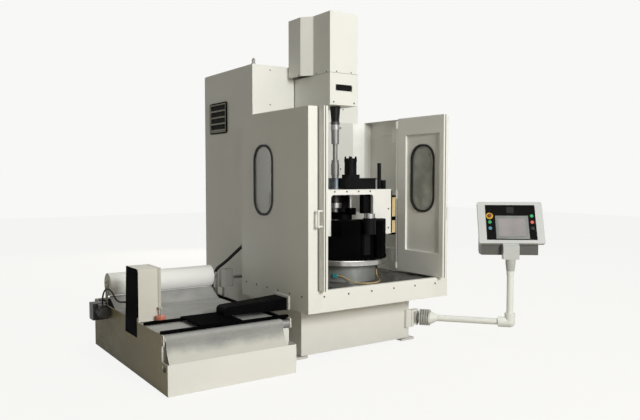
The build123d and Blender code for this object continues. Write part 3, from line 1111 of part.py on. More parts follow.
panel_screws.part.label = "panel_screws"
export_step(panel_screws.part, "parts/panel_screws.step")
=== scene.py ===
"""Vertical honing machine: finishes, small pieces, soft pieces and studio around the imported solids."""

import math

import bpy
from mathutils import Matrix, Vector


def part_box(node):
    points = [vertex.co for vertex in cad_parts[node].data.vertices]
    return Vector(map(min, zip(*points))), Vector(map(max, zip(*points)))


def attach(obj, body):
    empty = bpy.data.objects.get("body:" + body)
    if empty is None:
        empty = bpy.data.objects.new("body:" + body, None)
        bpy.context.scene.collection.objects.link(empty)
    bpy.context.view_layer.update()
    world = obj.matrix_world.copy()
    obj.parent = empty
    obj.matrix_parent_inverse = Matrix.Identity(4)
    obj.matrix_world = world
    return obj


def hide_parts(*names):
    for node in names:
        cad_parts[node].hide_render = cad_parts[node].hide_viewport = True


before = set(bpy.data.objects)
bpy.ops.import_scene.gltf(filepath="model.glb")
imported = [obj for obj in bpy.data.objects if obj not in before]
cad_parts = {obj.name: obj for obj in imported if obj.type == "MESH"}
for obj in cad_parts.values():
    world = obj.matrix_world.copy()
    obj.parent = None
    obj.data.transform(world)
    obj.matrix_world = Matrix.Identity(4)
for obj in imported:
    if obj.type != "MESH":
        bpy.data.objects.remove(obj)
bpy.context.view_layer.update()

bl_info = {
    "name": "Vertical Honing Machine",
    "version": (1, 0, 0),
    "blender": (4, 5, 0),
    "location": "View3D > Sidebar > Honing",
    "description": "Dresses the honing machine's solids with finishes, trim, paper, hoses and a studio",
    "category": "Object",
}

MM = 0.001
PANEL_YAW = math.radians(38)
PANEL_TILT = math.radians(25)
PANEL_CENTRE = Vector((1.2245, -1.4734, 1.085))
PANEL_RIGHT = Vector((math.cos(PANEL_YAW), -math.sin(PANEL_YAW), 0))
PANEL_REAR = Vector((math.sin(PANEL_YAW), math.cos(PANEL_YAW), 0))
PANEL_NORMAL = -PANEL_REAR * math.cos(PANEL_TILT) + Vector((0, 0, math.sin(PANEL_TILT)))
PANEL_UP = PANEL_NORMAL.cross(PANEL_RIGHT)
PANEL_TURN = Matrix((PANEL_RIGHT, PANEL_UP, PANEL_NORMAL)).transposed()

# Places on the panel in its own millimetres: half sizes, radii and middles.
PANEL_FACE = (216.55, 164.05)
FACE_DEPTH = 10.5
STOP_COLLAR_R = 30.05
STOP_COLLAR_SPOT = (-183, 58)
BADGE = (32.05, 29.05)
BADGE_SPOT = (0, 114)
SCREEN_SPOT = (9, -46, 0)
SCREEN_HALF = (143, 108.5)
SCREEN_FIELD = (117, 82)
SCREEN_RIM = 26

# Where a finish changes on a solid, in metres: places from the part's origin, radii and widths.
HEAD_SEAM = 2.383
HEAD_SEAM_HALF = 0.0022
LEAF_GROOVE = (0.6185, -1.2725)
LEAF_GROOVE_HALF = 0.0046
TANK_SIDE = -1.8144
CHUTE_FLANGE = -0.7352
DRIVE_PLATE = -1.8152
DRIVE_SEAM = -1.663
DRIVE_SEAM_HALF = 0.0016
DRIVE_TAG = -1.6398
GAUGE_RING = 1.1432
TOOL_HIGHLIGHT_FROM = 1.900
TOOL_GROOVE_SHADE_FROM = 1.9475
HINGE = (0.645, -0.884)
BOOT_R = 0.141
NECK_LOW = 0.664
CLAMP_BLOCK = 1.2115
VENT_FRAME = 0.013
VENT_EDGE = 0.0027
INDEX_Y = -0.690
DRUM_R = 0.2583
SOCKET_LOW = 0.632
SHELF = 1.345
BUSHING_COLLAR = (1.2085, 1.2535)

# Pieces that the scene adds, in metres.
FRONT_TURN = Matrix.Rotation(math.radians(90), 4, "X")
HEAD_FRONT = -0.656
PLATE_Z = 2.2575
RIVET_R = 0.0028
RIVET_INSET = 0.009
SCREW_R = 0.0062
FRONT_SCREWS = ((0.078, -0.6559, 2.394), (0.408, -0.0819, 2.450), (0.408, -0.0819, 2.139))
SIDE_SCREWS = ((0.1479, -0.602, 2.394), (0.1479, -0.450, 2.394), (0.2259, -0.276, 2.394), (0.2259, -0.128, 2.394))
BRIDGE_SIDE = 0.429
GUARD_HEIGHTS = ((0.971, 1.101), (1.118, 1.310))
GUARD_CAP_HALF = 0.007
GUARD_STRIP_HEIGHTS = (0.985, 1.362)

# Outlines of the guards from above: two corners, x from the bridge's side.
GUARD_BAR = ((0.020, -0.762), (0.074, -0.738))
GUARD_CAP = ((0.017, -0.765), (0.078, -0.735))
GUARD_STRIP = ((0.0003, -0.780), (0.0205, -0.732))

# The paper's path: down from the roll, along the bed, round the front roller and into the bin.
SLOPE = ((0.2150, 0.4853), (0.190, 0.4705), (0.160, 0.4530), (0.130, 0.4357), (0.100, 0.4185), (0.078, 0.4065),
         (0.064, 0.4000))
BED_REAR = 0.050
BED_TOP = 0.3964
BAR_Y = -0.680
ROLLER_Y = -1.040
ROLLER_Z = 0.366
ROLLER_R = 0.0304
PAPER_LIFT = 0.0012
PAPER_T = 0.0007
WEB_X0 = -1.798
WEB_X1 = -0.868
WEB_LOW = 0.2125
BED_STEPS = 54
BEND_STEPS = 8
HANG_STEPS = 10
ACROSS_STEPS = 64
SLOPE_SLACK = 0.0015
BED_SLACK = 0.0040
HANG_FLARE = 0.055
HANG_RIPPLE = 0.0018

# Cords: points in metres, or turn in degrees, radius and height round the index axis.
HOSE_POINTS = ((-0.6295, 0.0535, 0.852815), (-0.6702, 0.1272, 0.782008), (-0.715, 0.235, 0.690),
               (-0.745, 0.425, 0.590), (-0.745, 0.470, 0.440))
CABLE_POINTS = ((-1.865, 0.190, 0.424), (-1.865, 0.190, 0.500), (-1.855, 0.110, 0.575), (-1.841, 0.0, 0.560),
                (-1.829, -0.100, 0.480), (-1.775, -0.195, 0.500), (-1.775, -0.300, 0.500))
LEAD_ROUTE = ((-52.37, 0.26854, 0.655), (-42.77, 0.2753, 0.655), (-32, 0.292, 0.630), (-23, 0.322, 0.607),
              (-13, 0.362, 0.6046), (0, 0.384, 0.6046), (13, 0.362, 0.6046), (27, 0.326, 0.6046),
              (41, 0.296, 0.6046), (51, 0.278, 0.610), (57, 0.268, 0.642), (57, 0.268, 0.682))

# Studio: the photographer's place and view, and each lamp's name, place, aim, width, share of the key lamp's
# power, tint and whether it makes highlights.
CAMERA_SPOT = (-3.4303, -5.3569, 1.4905)
CAMERA_RIGHT = (0.8284, -0.5602, 0.0)
CAMERA_AHEAD = (0.5595, 0.8273, -0.0509)
LAMPS = (
    ("key_lamp", (-0.7, -8.0, 3.2), (-0.3, -0.6, 1.1), 1.8, 1.0, (0.995, 1.0, 0.98), True),
    ("top_lamp", (0.8, -2.8, 8.0), (0.0, -0.4, 0.5), 4.0, 0.48, (1.0, 0.985, 0.95), True),
    ("rear_lamp", (2.4, 7.0, 2.4), (0.0, 0.6, 1.2), 3.0, 0.6, (1.0, 0.985, 0.95), False),
)
FLOOR_GLOW = 0.88


def panel_spot(x, y, height):
    """Point of the control panel from its own millimetre coordinates."""
    return PANEL_CENTRE + (PANEL_RIGHT * x + PANEL_UP * y + PANEL_NORMAL * height) * MM


def tint(name, description, default):
    """Colour property."""
    return bpy.props.FloatVectorProperty(name=name, description=description, subtype="COLOR", size=3,
                                         min=0, max=1, default=default)


class HoningFinish(bpy.types.PropertyGroup):
    """Colours a user would change."""

    enamel: tint("Machine enamel", "Cream paint of the sheet metal", (0.80, 0.792, 0.75))
    bridge: tint("Bridge white", "White paint of the fixture bridge", (0.88, 0.87, 0.83))
    pendant: tint("Arm gray", "Light gray paint of the panel's arm", (0.80, 0.81, 0.77))
    bezel: tint("Bezel gray", "Gray paint of the panel's bezel", (0.52, 0.53, 0.52))
    drive: tint("Drive box beige", "Paint of the filter's drive box", (0.66, 0.635, 0.565))
    black: tint("Fixture black", "Black finish of the fixture, chute and bars", (0.0022, 0.0022, 0.0024))
    steel: tint("Turned steel", "Bare steel of the spindle tooling and the disc", (0.36, 0.355, 0.345))
    paper: tint("Filter paper", "Clean filter paper", (0.945, 0.94, 0.92))


class HoningSize(bpy.types.PropertyGroup):
    """Sizes a user would change."""

    plate_width: bpy.props.FloatProperty(
        name="Nameplate width", description="Width of the bare plate on the head", unit="LENGTH", default=0.176,
        min=0.02)
    plate_height: bpy.props.FloatProperty(
        name="Nameplate height", description="Height of the bare plate on the head", unit="LENGTH", default=0.053,
        min=0.01)
    lens: bpy.props.FloatProperty(
        name="Lens", description="Focal length on a 36 mm sensor", default=37.30, min=10, max=200)
    key_power: bpy.props.FloatProperty(
        name="Key lamp", description="Power of the large lamp in front", unit="POWER", default=406.0, min=0)


class Finish:
    """A node material under construction."""

    def __init__(self, name):
        self.material = bpy.data.materials.new(name)
        self.material.use_nodes = True
        self.nodes = self.material.node_tree.nodes
        self.links = self.material.node_tree.links
        self.shader = self.nodes["Principled BSDF"]
        self.object = self.add("ShaderNodeTexCoord").outputs["Object"]

    def add(self, kind, settings=None, **sockets):
        """New node; settings are its own properties and sockets its inputs by name."""
        node = self.nodes.new(kind)
        for key, value in (settings or {}).items():
            setattr(node, key, value)
        for key, value in sockets.items():
            self.put(node.inputs[key.replace("_", " ")], value)
        return node

    def put(self, socket, value):
        """Fills a socket with a value or a link."""
        if isinstance(value, bpy.types.NodeSocket):
            self.links.new(value, socket)
        else:
            socket.default_value = value

    def set(self, **sockets):
        """Fills sockets of the surface shader."""
        for key, value in sockets.items():
            self.put(self.shader.inputs[key.replace("_", " ")], value)
        return self

    def math(self, operation, a, b=0.0):
        """Arithmetic on two values."""
        node = self.add("ShaderNodeMath", {"operation": operation})
        self.put(node.inputs[0], a)
        self.put(node.inputs[1], b)
        return node.outputs[0]

    def scaled(self, size):
        """Object coordinates stretched by a factor on each axis."""
        return self.add("ShaderNodeMapping", Vector=self.object, Scale=size).outputs["Vector"]

    def noise(self, scale, detail=3.0, rough=0.5, vector=None):
        """Noise value between 0 and 1."""
        node = self.add("ShaderNodeTexNoise", Vector=vector or self.object, Scale=scale, Detail=detail,
                        Roughness=rough)
        return node.outputs["Fac"]

    def lines(self, density, across=6):
        """Noise drawn out into fine lines round a vertical axis."""
        return self.noise(1.0, 2.0, 0.6, self.scaled((across, across, density)))

    def span(self, value, low, high, from_low=0.3, from_high=0.7):
        """Value moved from one range to another and held there."""
        node = self.add("ShaderNodeMapRange", {"clamp": True}, Value=value)
        node.inputs["From Min"].default_value = from_low
        node.inputs["From Max"].default_value = from_high
        node.inputs["To Min"].default_value = low
        node.inputs["To Max"].default_value = high
        return node.outputs["Result"]

    def pick(self, mask, off, on):
        """Value between two by a mask or share from 0 to 1."""
        return self.span(mask, off, on, 0, 1)

    def drift(self, scale, detail, first, second):
        """Colour drifting from place to place between two colours."""
        return self.mix(self.span(self.noise(scale, detail), 0, 1), first, second)

    def mix(self, amount, first, second):
        """Colour between two colours."""
        node = self.add("ShaderNodeMix", {"data_type": "RGBA"})
        self.put(node.inputs["Factor"], amount)
        self.put(node.inputs[6], colour(first))
        self.put(node.inputs[7], colour(second))
        return node.outputs[2]

    def bump(self, height, strength, distance):
        """Normal from a height value."""
        node = self.add("ShaderNodeBump", Strength=strength, Distance=distance, Height=height)
        return node.outputs["Normal"]

    def axis(self, vector, letter):
        """One coordinate of a vector."""
        return self.add("ShaderNodeSeparateXYZ", Vector=vector).outputs[letter]

    def beyond(self, letter, place):
        """1 where an object coordinate is greater than a place, 0 elsewhere."""
        return self.math("GREATER_THAN", self.axis(self.object, letter), place)

    def before(self, letter, place):
        """1 where an object coordinate is less than a place, 0 elsewhere."""
        return self.math("LESS_THAN", self.axis(self.object, letter), place)

    def away(self, value, middle):
        """Distance of a value from a middle."""
        return self.math("ABSOLUTE", self.math("SUBTRACT", value, middle))

    def reach(self, x, y):
        """Square of the distance from an axis."""
        return self.math("ADD", self.math("MULTIPLY", x, x), self.math("MULTIPLY", y, y))

    def panel_plane(self, spot):
        """Coordinates in the control panel's own plane from a spot on it."""
        node = self.add("ShaderNodeMapping", {"vector_type": "TEXTURE"}, Vector=self.object, Location=spot,
                        Rotation=PANEL_TURN.to_euler())
        return node.outputs["Vector"]


def colour(value):
    """Four-channel colour from three channels, or the socket as it is."""
    if isinstance(value, bpy.types.NodeSocket):
        return value
    return tuple(value)[:3] + (1.0,)


def shade(value, factor):
    """Darker or lighter version of a colour."""
    return tuple(min(1.0, channel * factor) for channel in tuple(value)[:3])


def enamel(name, base, gloss=0.36, seam=None, groove=None):
    """Sprayed machine enamel: faint mottling, orange peel and dust towards the floor.

    A seam is a dark joint at one height; a groove is a dark line down the front edge of a door leaf.
    """
    f = Finish(name)
    body = f.drift(1.7, 4.0, shade(base, 0.965), shade(base, 1.02))
    low = f.span(f.axis(f.object, "Z"), 0.35, 0.0, 0.0, 0.45)
    dust = f.math("MULTIPLY", low, f.span(f.noise(7.0, 5.0), 0, 1))
    body = f.mix(dust, body, shade(base, 0.78))
    speck = f.span(f.noise(520, 2.0), 0.0, 0.10, 0.68, 0.80)
    body = f.mix(speck, body, shade(base, 0.86))
    if seam:
        gap = f.away(f.axis(f.object, "Z"), seam)
        body = f.mix(f.math("LESS_THAN", gap, HEAD_SEAM_HALF), body, shade(base, 0.45))
    if groove:
        across, front = groove
        gap = f.away(f.math("ABSOLUTE", f.axis(f.object, "X")), across)
        line = f.math("MULTIPLY", f.math("LESS_THAN", gap, LEAF_GROOVE_HALF), f.before("Y", front))
        body = f.mix(line, body, shade(base, 0.12))
    f.set(Base_Color=body, Roughness=f.span(f.noise(11.0, 3.0), gloss - 0.05, gloss + 0.07))
    f.set(Normal=f.bump(f.noise(260, 2.0), 0.06, 0.0008), Specular_IOR_Level=0.45)
    return f.material


def tank_finish(name, base):
    """Enamel of the filter tank; its left side is darkened by painted shade and old oil, most of all towards the
    rear.
    """
    f = Finish(name)
    body = f.drift(1.7, 4.0, shade(base, 0.965), shade(base, 1.02))
    side = f.before("X", TANK_SIDE)
    rear = f.span(f.axis(f.object, "Y"), 0, 1, -1.1, 0.5)
    # Painted shade and old oil on the left side, deepest towards the rear, with lighter streaks.
    oil_and_shade = f.mix(rear, (0.49, 0.45, 0.33), (0.21, 0.185, 0.11))
    streak = f.span(f.noise(1.0, 6.0, 0.62, f.scaled((3, 5, 16))), 0.0, 0.55, 0.46, 0.74)
    oil_and_shade = f.mix(streak, oil_and_shade, (0.42, 0.385, 0.285))
    f.set(Base_Color=f.mix(side, body, oil_and_shade), Roughness=f.span(f.noise(11.0, 3.0), 0.33, 0.46))
    f.set(Normal=f.bump(f.noise(260, 2.0), 0.06, 0.0008), Specular_IOR_Level=f.pick(side, 0.45, 0.04))
    return f.material


def satin_black(name, base, gloss=0.56, sheen=0.0015):
    """Black satin coat with fine scuffs and a grainy skin."""
    f = Finish(name)
    rub = f.span(f.noise(38, 6.0, 0.7, f.scaled((1, 1, 4))), 0, 0.5, 0.58, 0.78)
    tone = f.drift(4, 3.0, shade(base, 0.8), shade(base, 1.5))
    f.set(Base_Color=f.mix(rub, tone, (0.012, 0.012, 0.0115)))
    f.set(Roughness=f.span(f.noise(60, 4.0), gloss - 0.08, gloss + 0.12))
    f.set(Normal=f.bump(f.noise(900, 2.0), 0.10, 0.0004), Specular_IOR_Level=sheen)
    return f.material


def turned_steel(name, base, gloss=0.24, around="Z"):
    """Bare turned steel: fine tool lines round the axis and a patchy sheen."""
    f = Finish(name)
    lines = {"X": (900, 6, 6), "Y": (6, 900, 6), "Z": (6, 6, 900)}[around]
    score = f.noise(1.0, 2.0, 0.6, f.scaled(lines))
    stain = f.noise(14, 5.0, 0.6)
    f.set(Base_Color=f.mix(f.span(stain, 0, 1), shade(base, 0.82), shade(base, 1.06)), Metallic=1.0)
    rough = f.math("ADD", f.span(score, -0.05, 0.07), f.span(stain, gloss, gloss + 0.12))
    f.set(Roughness=rough, Normal=f.bump(score, 0.05, 0.0002))
    return f.material


def cast_paint(name, base):
    """Filled and painted casting with a soft uneven skin."""
    f = Finish(name)
    f.set(Base_Color=f.drift(6, 5.0, shade(base, 0.88), shade(base, 1.05)))
    f.set(Roughness=f.span(f.noise(24, 3.0), 0.42, 0.58), Normal=f.bump(f.noise(70, 5.0, 0.6), 0.22, 0.002))
    return f.material


def dark_plate(name):
    """Oily dark floor plate: rolled steel with drag marks and dry coolant."""
    f = Finish(name)
    drag = f.noise(1.0, 4.0, 0.6, f.scaled((4, 46, 4)))
    wet = f.noise(5.0, 6.0, 0.62)
    f.set(Base_Color=f.mix(f.span(wet, 0, 1, 0.42, 0.66), (0.045, 0.045, 0.042), (0.15, 0.147, 0.135)))
    f.set(Metallic=0.35, Roughness=f.span(wet, 0.22, 0.55, 0.4, 0.66), Normal=f.bump(drag, 0.12, 0.0008))
    return f.material


def rubber(name, base=(0.012, 0.012, 0.012)):
    """Matt black rubber with a powdery bloom."""
    f = Finish(name)
    f.set(Base_Color=f.drift(30, 5.0, base, shade(base, 2.2)))
    f.set(Roughness=f.span(f.noise(120, 3.0), 0.52, 0.70), Normal=f.bump(f.noise(700, 2.0), 0.10, 0.0004))
    f.set(Specular_IOR_Level=0.2)
    return f.material


def window_glass(name, tint=(0.16, 0.165, 0.15), cover=0.52):
    """Gray safety glazing with a dusty haze."""
    f = Finish(name)
    haze = f.span(f.noise(5.5, 5.0, 0.6), 0.0, 1.0, 0.40, 0.72)
    f.set(Base_Color=f.mix(haze, tint, shade(tint, 1.55)), Alpha=cover)
    f.set(Roughness=f.pick(haze, 0.06, 0.22), Specular_IOR_Level=0.6)
    f.set(Normal=f.bump(f.noise(3.0, 2.0), 0.02, 0.002))
    f.material.surface_render_method = "BLENDED"
    return f.material


def moulded(name, base, gloss=0.30):
    """Moulded plastic: a little colour drift and a fine spark texture."""
    f = Finish(name)
    f.set(Base_Color=f.drift(40, 3.0, shade(base, 0.90), shade(base, 1.06)))
    f.set(Roughness=f.span(f.noise(90, 3.0), gloss - 0.05, gloss + 0.08))
    f.set(Normal=f.bump(f.noise(1500, 2.0), 0.08, 0.0002))
    return f.material


def abrasive(name):
    """Honing stone: coarse sintered grit."""
    f = Finish(name)
    grit = f.add("ShaderNodeTexVoronoi", Vector=f.object, Scale=900.0)
    f.set(Base_Color=f.mix(grit.outputs["Distance"], (0.055, 0.040, 0.032), (0.24, 0.19, 0.15)), Roughness=0.85)
    f.set(Normal=f.bump(grit.outputs["Distance"], 0.5, 0.0006))
    return f.material


def fleece(f):
    """Tangled fibres of non-woven paper, as a value between 0 and 1."""
    fibre = f.noise(1.0, 6.0, 0.7, f.scaled((120, 420, 260)))
    cross = f.noise(1.0, 6.0, 0.7, f.scaled((460, 110, 260)))
    return f.math("MULTIPLY", f.math("ADD", fibre, cross), 0.5)


def clean_paper(name, base):
    """Clean paper on its roll."""
    f = Finish(name)
    web = fleece(f)
    f.set(Base_Color=f.mix(f.span(web, 0, 1, 0.36, 0.64), shade(base, 0.92), shade(base, 1.03)))
    f.set(Roughness=f.span(web, 0.72, 0.92), Normal=f.bump(web, 0.25, 0.0008), Sheen_Weight=0.15)
    return f.material


def used_paper(name):
    """Paper gray with wet mud on the bed and over the roller, cream again where it hangs into the bin."""
    f = Finish(name)
    web = fleece(f)
    mud = f.span(f.noise(1.0, 6.0, 0.66, f.scaled((5, 7, 16))), 0.0, 1.0, 0.32, 0.70)
    soil = f.mix(mud, (0.39, 0.39, 0.375), (0.26, 0.26, 0.255))
    hang = f.span(f.axis(f.object, "Z"), 0.30, 0.0, 0.372, 0.392)
    soil = f.mix(hang, soil, (0.125, 0.125, 0.12))
    # Towards the bottom the hanging paper turns lighter cream.
    edge = f.math("ADD", f.axis(f.object, "Z"), f.span(f.noise(7.0, 5.0, 0.62), -0.016, 0.016))
    lighter_below = f.span(edge, 1.0, 0.0, 0.258, 0.318)
    tone = f.mix(lighter_below, soil, (0.55, 0.54, 0.485))
    tone = f.mix(f.span(web, 0.0, 0.30, 0.40, 0.64), tone, (0.50, 0.50, 0.48))
    f.set(Base_Color=tone, Roughness=f.span(web, 0.70, 0.92), Sheen_Weight=0.08)
    f.set(Normal=f.bump(web, 0.25, 0.0008))
    return f.material


def inside(f, vector, half_x, half_y, centre=(0, 0)):
    """1 inside a rectangle of the panel's own plane, 0 outside."""
    x = f.away(f.axis(vector, "X"), centre[0] * MM)
    y = f.away(f.axis(vector, "Y"), centre[1] * MM)
    return f.math("MULTIPLY", f.math("LESS_THAN", x, half_x * MM), f.math("LESS_THAN", y, half_y * MM))


def within(f, vector, radius, centre):
    """1 inside a circle of the panel's own plane, 0 outside."""
    x = f.math("SUBTRACT", f.axis(vector, "X"), centre[0] * MM)
    y = f.math("SUBTRACT", f.axis(vector, "Y"), centre[1] * MM)
    return f.math("LESS_THAN", f.reach(x, y), (radius * MM) ** 2)


def bezel_finish(name, base):
    """Light gray bezel with its black membrane face and the yellow collar of the stop button."""
    f = Finish(name)
    flat = f.panel_plane(PANEL_CENTRE)
    raised = f.math("GREATER_THAN", f.axis(flat, "Z"), 0.2 * MM)
    sunk = f.math("GREATER_THAN", f.axis(flat, "Z"), -FACE_DEPTH * MM)
    face = f.math("MULTIPLY", sunk, inside(f, flat, *PANEL_FACE))
    collar = f.math("MULTIPLY", raised, within(f, flat, STOP_COLLAR_R, STOP_COLLAR_SPOT))
    paint = f.drift(3.0, 4.0, shade(base, 0.95), shade(base, 1.03))
    membrane = f.drift(60, 4.0, (0.004, 0.004, 0.004), (0.008, 0.008, 0.0075))
    badge = f.math("MULTIPLY", raised, inside(f, flat, *BADGE, BADGE_SPOT))
    membrane = f.mix(badge, membrane, (0.032, 0.031, 0.029))
    tone = f.mix(face, paint, membrane)
    tone = f.mix(collar, tone, (0.62, 0.40, 0.05))
    f.set(Base_Color=tone, Roughness=f.pick(face, 0.40, 0.34), Specular_IOR_Level=f.pick(face, 0.45, 0.03))
    f.set(Normal=f.bump(f.noise(300, 2.0), 0.06, 0.0006))
    return f.material


def chute_finish(name, base, flange):
    """Black duct with its light mounting flange at the tray."""
    f = Finish(name)
    plate = f.beyond("X", CHUTE_FLANGE)
    tone = f.drift(9, 4.0, shade(base, 0.8), shade(base, 1.7))
    f.set(Base_Color=f.mix(plate, tone, flange), Roughness=f.span(f.noise(40, 4.0), 0.50, 0.66))
    f.set(Normal=f.bump(f.noise(500, 2.0), 0.08, 0.0005), Specular_IOR_Level=f.pick(plate, 0.02, 0.45))
    return f.material


def drive_finish(name, base, black):
    """Beige drive box: black side plate, a darker strip beyond a seam on its front, an orange tag on its right."""
    f = Finish(name)
    plate = f.before("X", DRIVE_PLATE)
    paint = f.drift(3.0, 4.0, shade(base, 0.95), shade(base, 1.03))
    paint = f.mix(f.beyond("X", DRIVE_SEAM), paint, shade(base, 0.78))
    joint = f.math("LESS_THAN", f.away(f.axis(f.object, "X"), DRIVE_SEAM), DRIVE_SEAM_HALF)
    paint = f.mix(joint, paint, shade(base, 0.22))
    paint = f.mix(f.beyond("X", DRIVE_TAG), paint, (0.60, 0.10, 0.03))
    f.set(Base_Color=f.mix(plate, paint, black), Roughness=f.span(f.noise(14, 3.0), 0.36, 0.48))
    f.set(Normal=f.bump(f.noise(260, 2.0), 0.06, 0.0008), Specular_IOR_Level=f.pick(plate, 0.45, 0.0015))
    return f.material


def gauge_finish(name, base, steel):
    """Black probe holder with a bright steel ring on top."""
    f = Finish(name)
    ring = f.beyond("Z", GAUGE_RING)
    score = f.lines(700)
    f.set(Base_Color=f.mix(ring, shade(base, 2.2), steel), Metallic=f.pick(ring, 0.0, 1.0))
    f.set(Roughness=f.span(score, 0.26, 0.40), Normal=f.bump(score, 0.10, 0.0003))
    f.set(Specular_IOR_Level=f.pick(ring, 0.08, 0.5))
    return f.material


def tool_finish(name, base):
    """Ground steel of the honing tool with a dark band painted as groove shade right under the holder and a bright
    collar band below it painted as a highlight.
    """
    f = Finish(name)
    score = f.lines(900)
    stain = f.noise(14, 5.0, 0.6)
    tone = f.mix(f.span(stain, 0, 1), shade(base, 0.84), shade(base, 1.08))
    # Above the collar height the steel is painted lighter as a highlight.
    tone = f.mix(f.beyond("Z", TOOL_HIGHLIGHT_FROM), tone, shade(base, 1.45))
    # Above the groove height it is painted dark as shade.
    tone = f.mix(f.beyond("Z", TOOL_GROOVE_SHADE_FROM), tone, shade(base, 0.30))
    rough = f.math("ADD", f.span(score, -0.04, 0.06), f.span(stain, 0.46, 0.56))
    f.set(Base_Color=tone, Metallic=0.72, Roughness=rough, Normal=f.bump(score, 0.05, 0.0002))
    return f.material


def arm_finish(name, base):
    """Light gray arm with a darker boot round its hinge and a darker neck below the panel."""
    f = Finish(name)
    spot = f.add("ShaderNodeMapping", Vector=f.object, Location=(-HINGE[0], -HINGE[1], 0)).outputs["Vector"]
    boot = f.math("LESS_THAN", f.reach(f.axis(spot, "X"), f.axis(spot, "Y")), BOOT_R ** 2)
    boot = f.math("MAXIMUM", boot, f.beyond("Z", NECK_LOW))
    paint = f.drift(3.0, 4.0, shade(base, 0.95), shade(base, 1.03))
    f.set(Base_Color=f.mix(boot, paint, shade(base, 0.60)), Roughness=f.span(f.noise(14, 3.0), 0.36, 0.50))
    f.set(Normal=f.bump(f.noise(260, 2.0), 0.06, 0.0008), Specular_IOR_Level=0.40)
    return f.material


def clamp_finish(name, base, steel):
    """Steel piston rod with a black clamp block below."""
    f = Finish(name)
    block = f.before("Z", CLAMP_BLOCK)
    score = f.lines(700)
    f.set(Base_Color=f.mix(block, steel, base), Metallic=f.pick(block, 1.0, 0.0))
    f.set(Specular_IOR_Level=f.pick(block, 0.5, 0.0))
    f.set(Roughness=f.span(score, 0.26, 0.42), Normal=f.bump(score, 0.08, 0.0003))
    return f.material


def vent_finish(name, base):
    """Vent grille: black frame, slats with light front edges and dust, and a near black depth that is painted
    shade.
    """
    f = Finish(name)
    low, high = (Vector(corner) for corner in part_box("cabinet_vent"))
    rim = None
    for letter, axis in (("Y", 1), ("Z", 2)):
        middle = (low[axis] + high[axis]) / 2
        half = (high[axis] - low[axis]) / 2
        outer = f.math("GREATER_THAN", f.away(f.axis(f.object, letter), middle), half - VENT_FRAME)
        rim = f.math("MAXIMUM", rim, outer) if rim else outer
    edge = f.before("X", low.x + VENT_EDGE)
    dirt = f.span(f.noise(26, 6.0, 0.66), 0.0, 0.7, 0.40, 0.72)
    slat = f.mix(dirt, shade(base, 0.80), shade(base, 0.42))
    # Behind the slats' front edges the grille is painted near black as shade in its depth.
    tone = f.mix(edge, (0.03, 0.03, 0.031), slat)
    f.set(Base_Color=f.mix(rim, tone, (0.004, 0.004, 0.004)), Specular_IOR_Level=0.01)
    f.set(Roughness=f.span(dirt, 0.38, 0.62, 0, 0.7), Normal=f.bump(f.noise(800, 2.0), 0.08, 0.0004))
    return f.material


def drum_finish(name):
    """Gray index drum with machining lines; its left plug socket is teal and its right one black."""
    f = Finish(name)
    spot = f.add("ShaderNodeMapping", Vector=f.object, Location=(0, -INDEX_Y, 0)).outputs["Vector"]
    x, y = f.axis(spot, "X"), f.axis(spot, "Y")
    socket = f.math("MULTIPLY", f.math("GREATER_THAN", f.reach(x, y), DRUM_R ** 2), f.beyond("Z", SOCKET_LOW))
    plug = f.mix(f.math("GREATER_THAN", x, 0.0), (0.02, 0.26, 0.29), (0.012, 0.012, 0.012))
    lines = f.lines(500, 5)
    cast = f.drift(9, 5.0, (0.20, 0.208, 0.198), (0.29, 0.30, 0.285))
    f.set(Base_Color=f.mix(socket, cast, plug), Metallic=f.pick(socket, 0.35, 0.0))
    f.set(Roughness=f.span(lines, 0.36, 0.52), Normal=f.bump(lines, 0.10, 0.0004))
    return f.material


def bushing_finish(name):
    """Steel guide bushing: faintly blued above the shelf, dark below it with one bright collar."""
    f = Finish(name)
    temper = f.noise(16, 5.0, 0.6)
    blued = f.mix(f.span(temper, 0, 1), (0.055, 0.068, 0.09), (0.15, 0.17, 0.185))
    dark = f.mix(f.span(temper, 0, 1), (0.035, 0.035, 0.034), (0.08, 0.08, 0.077))
    tone = f.mix(f.before("Z", SHELF), blued, dark)
    low, high = BUSHING_COLLAR
    collar = f.math("MULTIPLY", f.beyond("Z", low), f.before("Z", high))
    f.set(Base_Color=f.mix(collar, tone, (0.34, 0.335, 0.32)), Metallic=0.85)
    f.set(Roughness=f.span(temper, 0.28, 0.44), Normal=f.bump(f.lines(800), 0.1, 0.0003))
    return f.material


def pump_finish(name, base):
    """Pump paint with runs of dried coolant, on a base that is the enamel darkened as painted shade."""
    f = Finish(name)
    runs = f.span(f.noise(1.0, 5.0, 0.65, f.scaled((28, 28, 3))), 0.0, 0.5, 0.50, 0.75)
    f.set(Base_Color=f.mix(runs, base, shade(base, 0.62)), Roughness=f.span(runs, 0.36, 0.58, 0, 0.5))
    f.set(Normal=f.bump(f.noise(240, 2.0), 0.08, 0.0008))
    return f.material


def screen_finish(name):
    """Gray display glass with a soft warmer field, without lettering."""
    f = Finish(name)
    field = inside(f, f.panel_plane(panel_spot(*SCREEN_SPOT)), *SCREEN_FIELD)
    glow = f.drift(6, 2.0, (0.27, 0.255, 0.265), (0.33, 0.31, 0.315))
    edge = f.drift(20, 3.0, (0.19, 0.20, 0.195), (0.225, 0.235, 0.23))
    f.set(Base_Color=f.mix(field, edge, glow), Roughness=f.pick(field, 0.36, 0.20))
    f.set(Normal=f.bump(f.noise(500, 2.0), 0.03, 0.0003), Specular_IOR_Level=0.2)
    return f.material


def paint_node(node, material):
    """Gives a CAD node its finish."""
    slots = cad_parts[node].data.materials
    if len(slots):
        slots[0] = material
    else:
        slots.append(material)


def deselect():
    """Leaves edit mode and clears the selection."""
    if bpy.context.object and bpy.context.object.mode != "OBJECT":
        bpy.ops.object.mode_set(mode="OBJECT")
    bpy.ops.object.select_all(action="DESELECT")


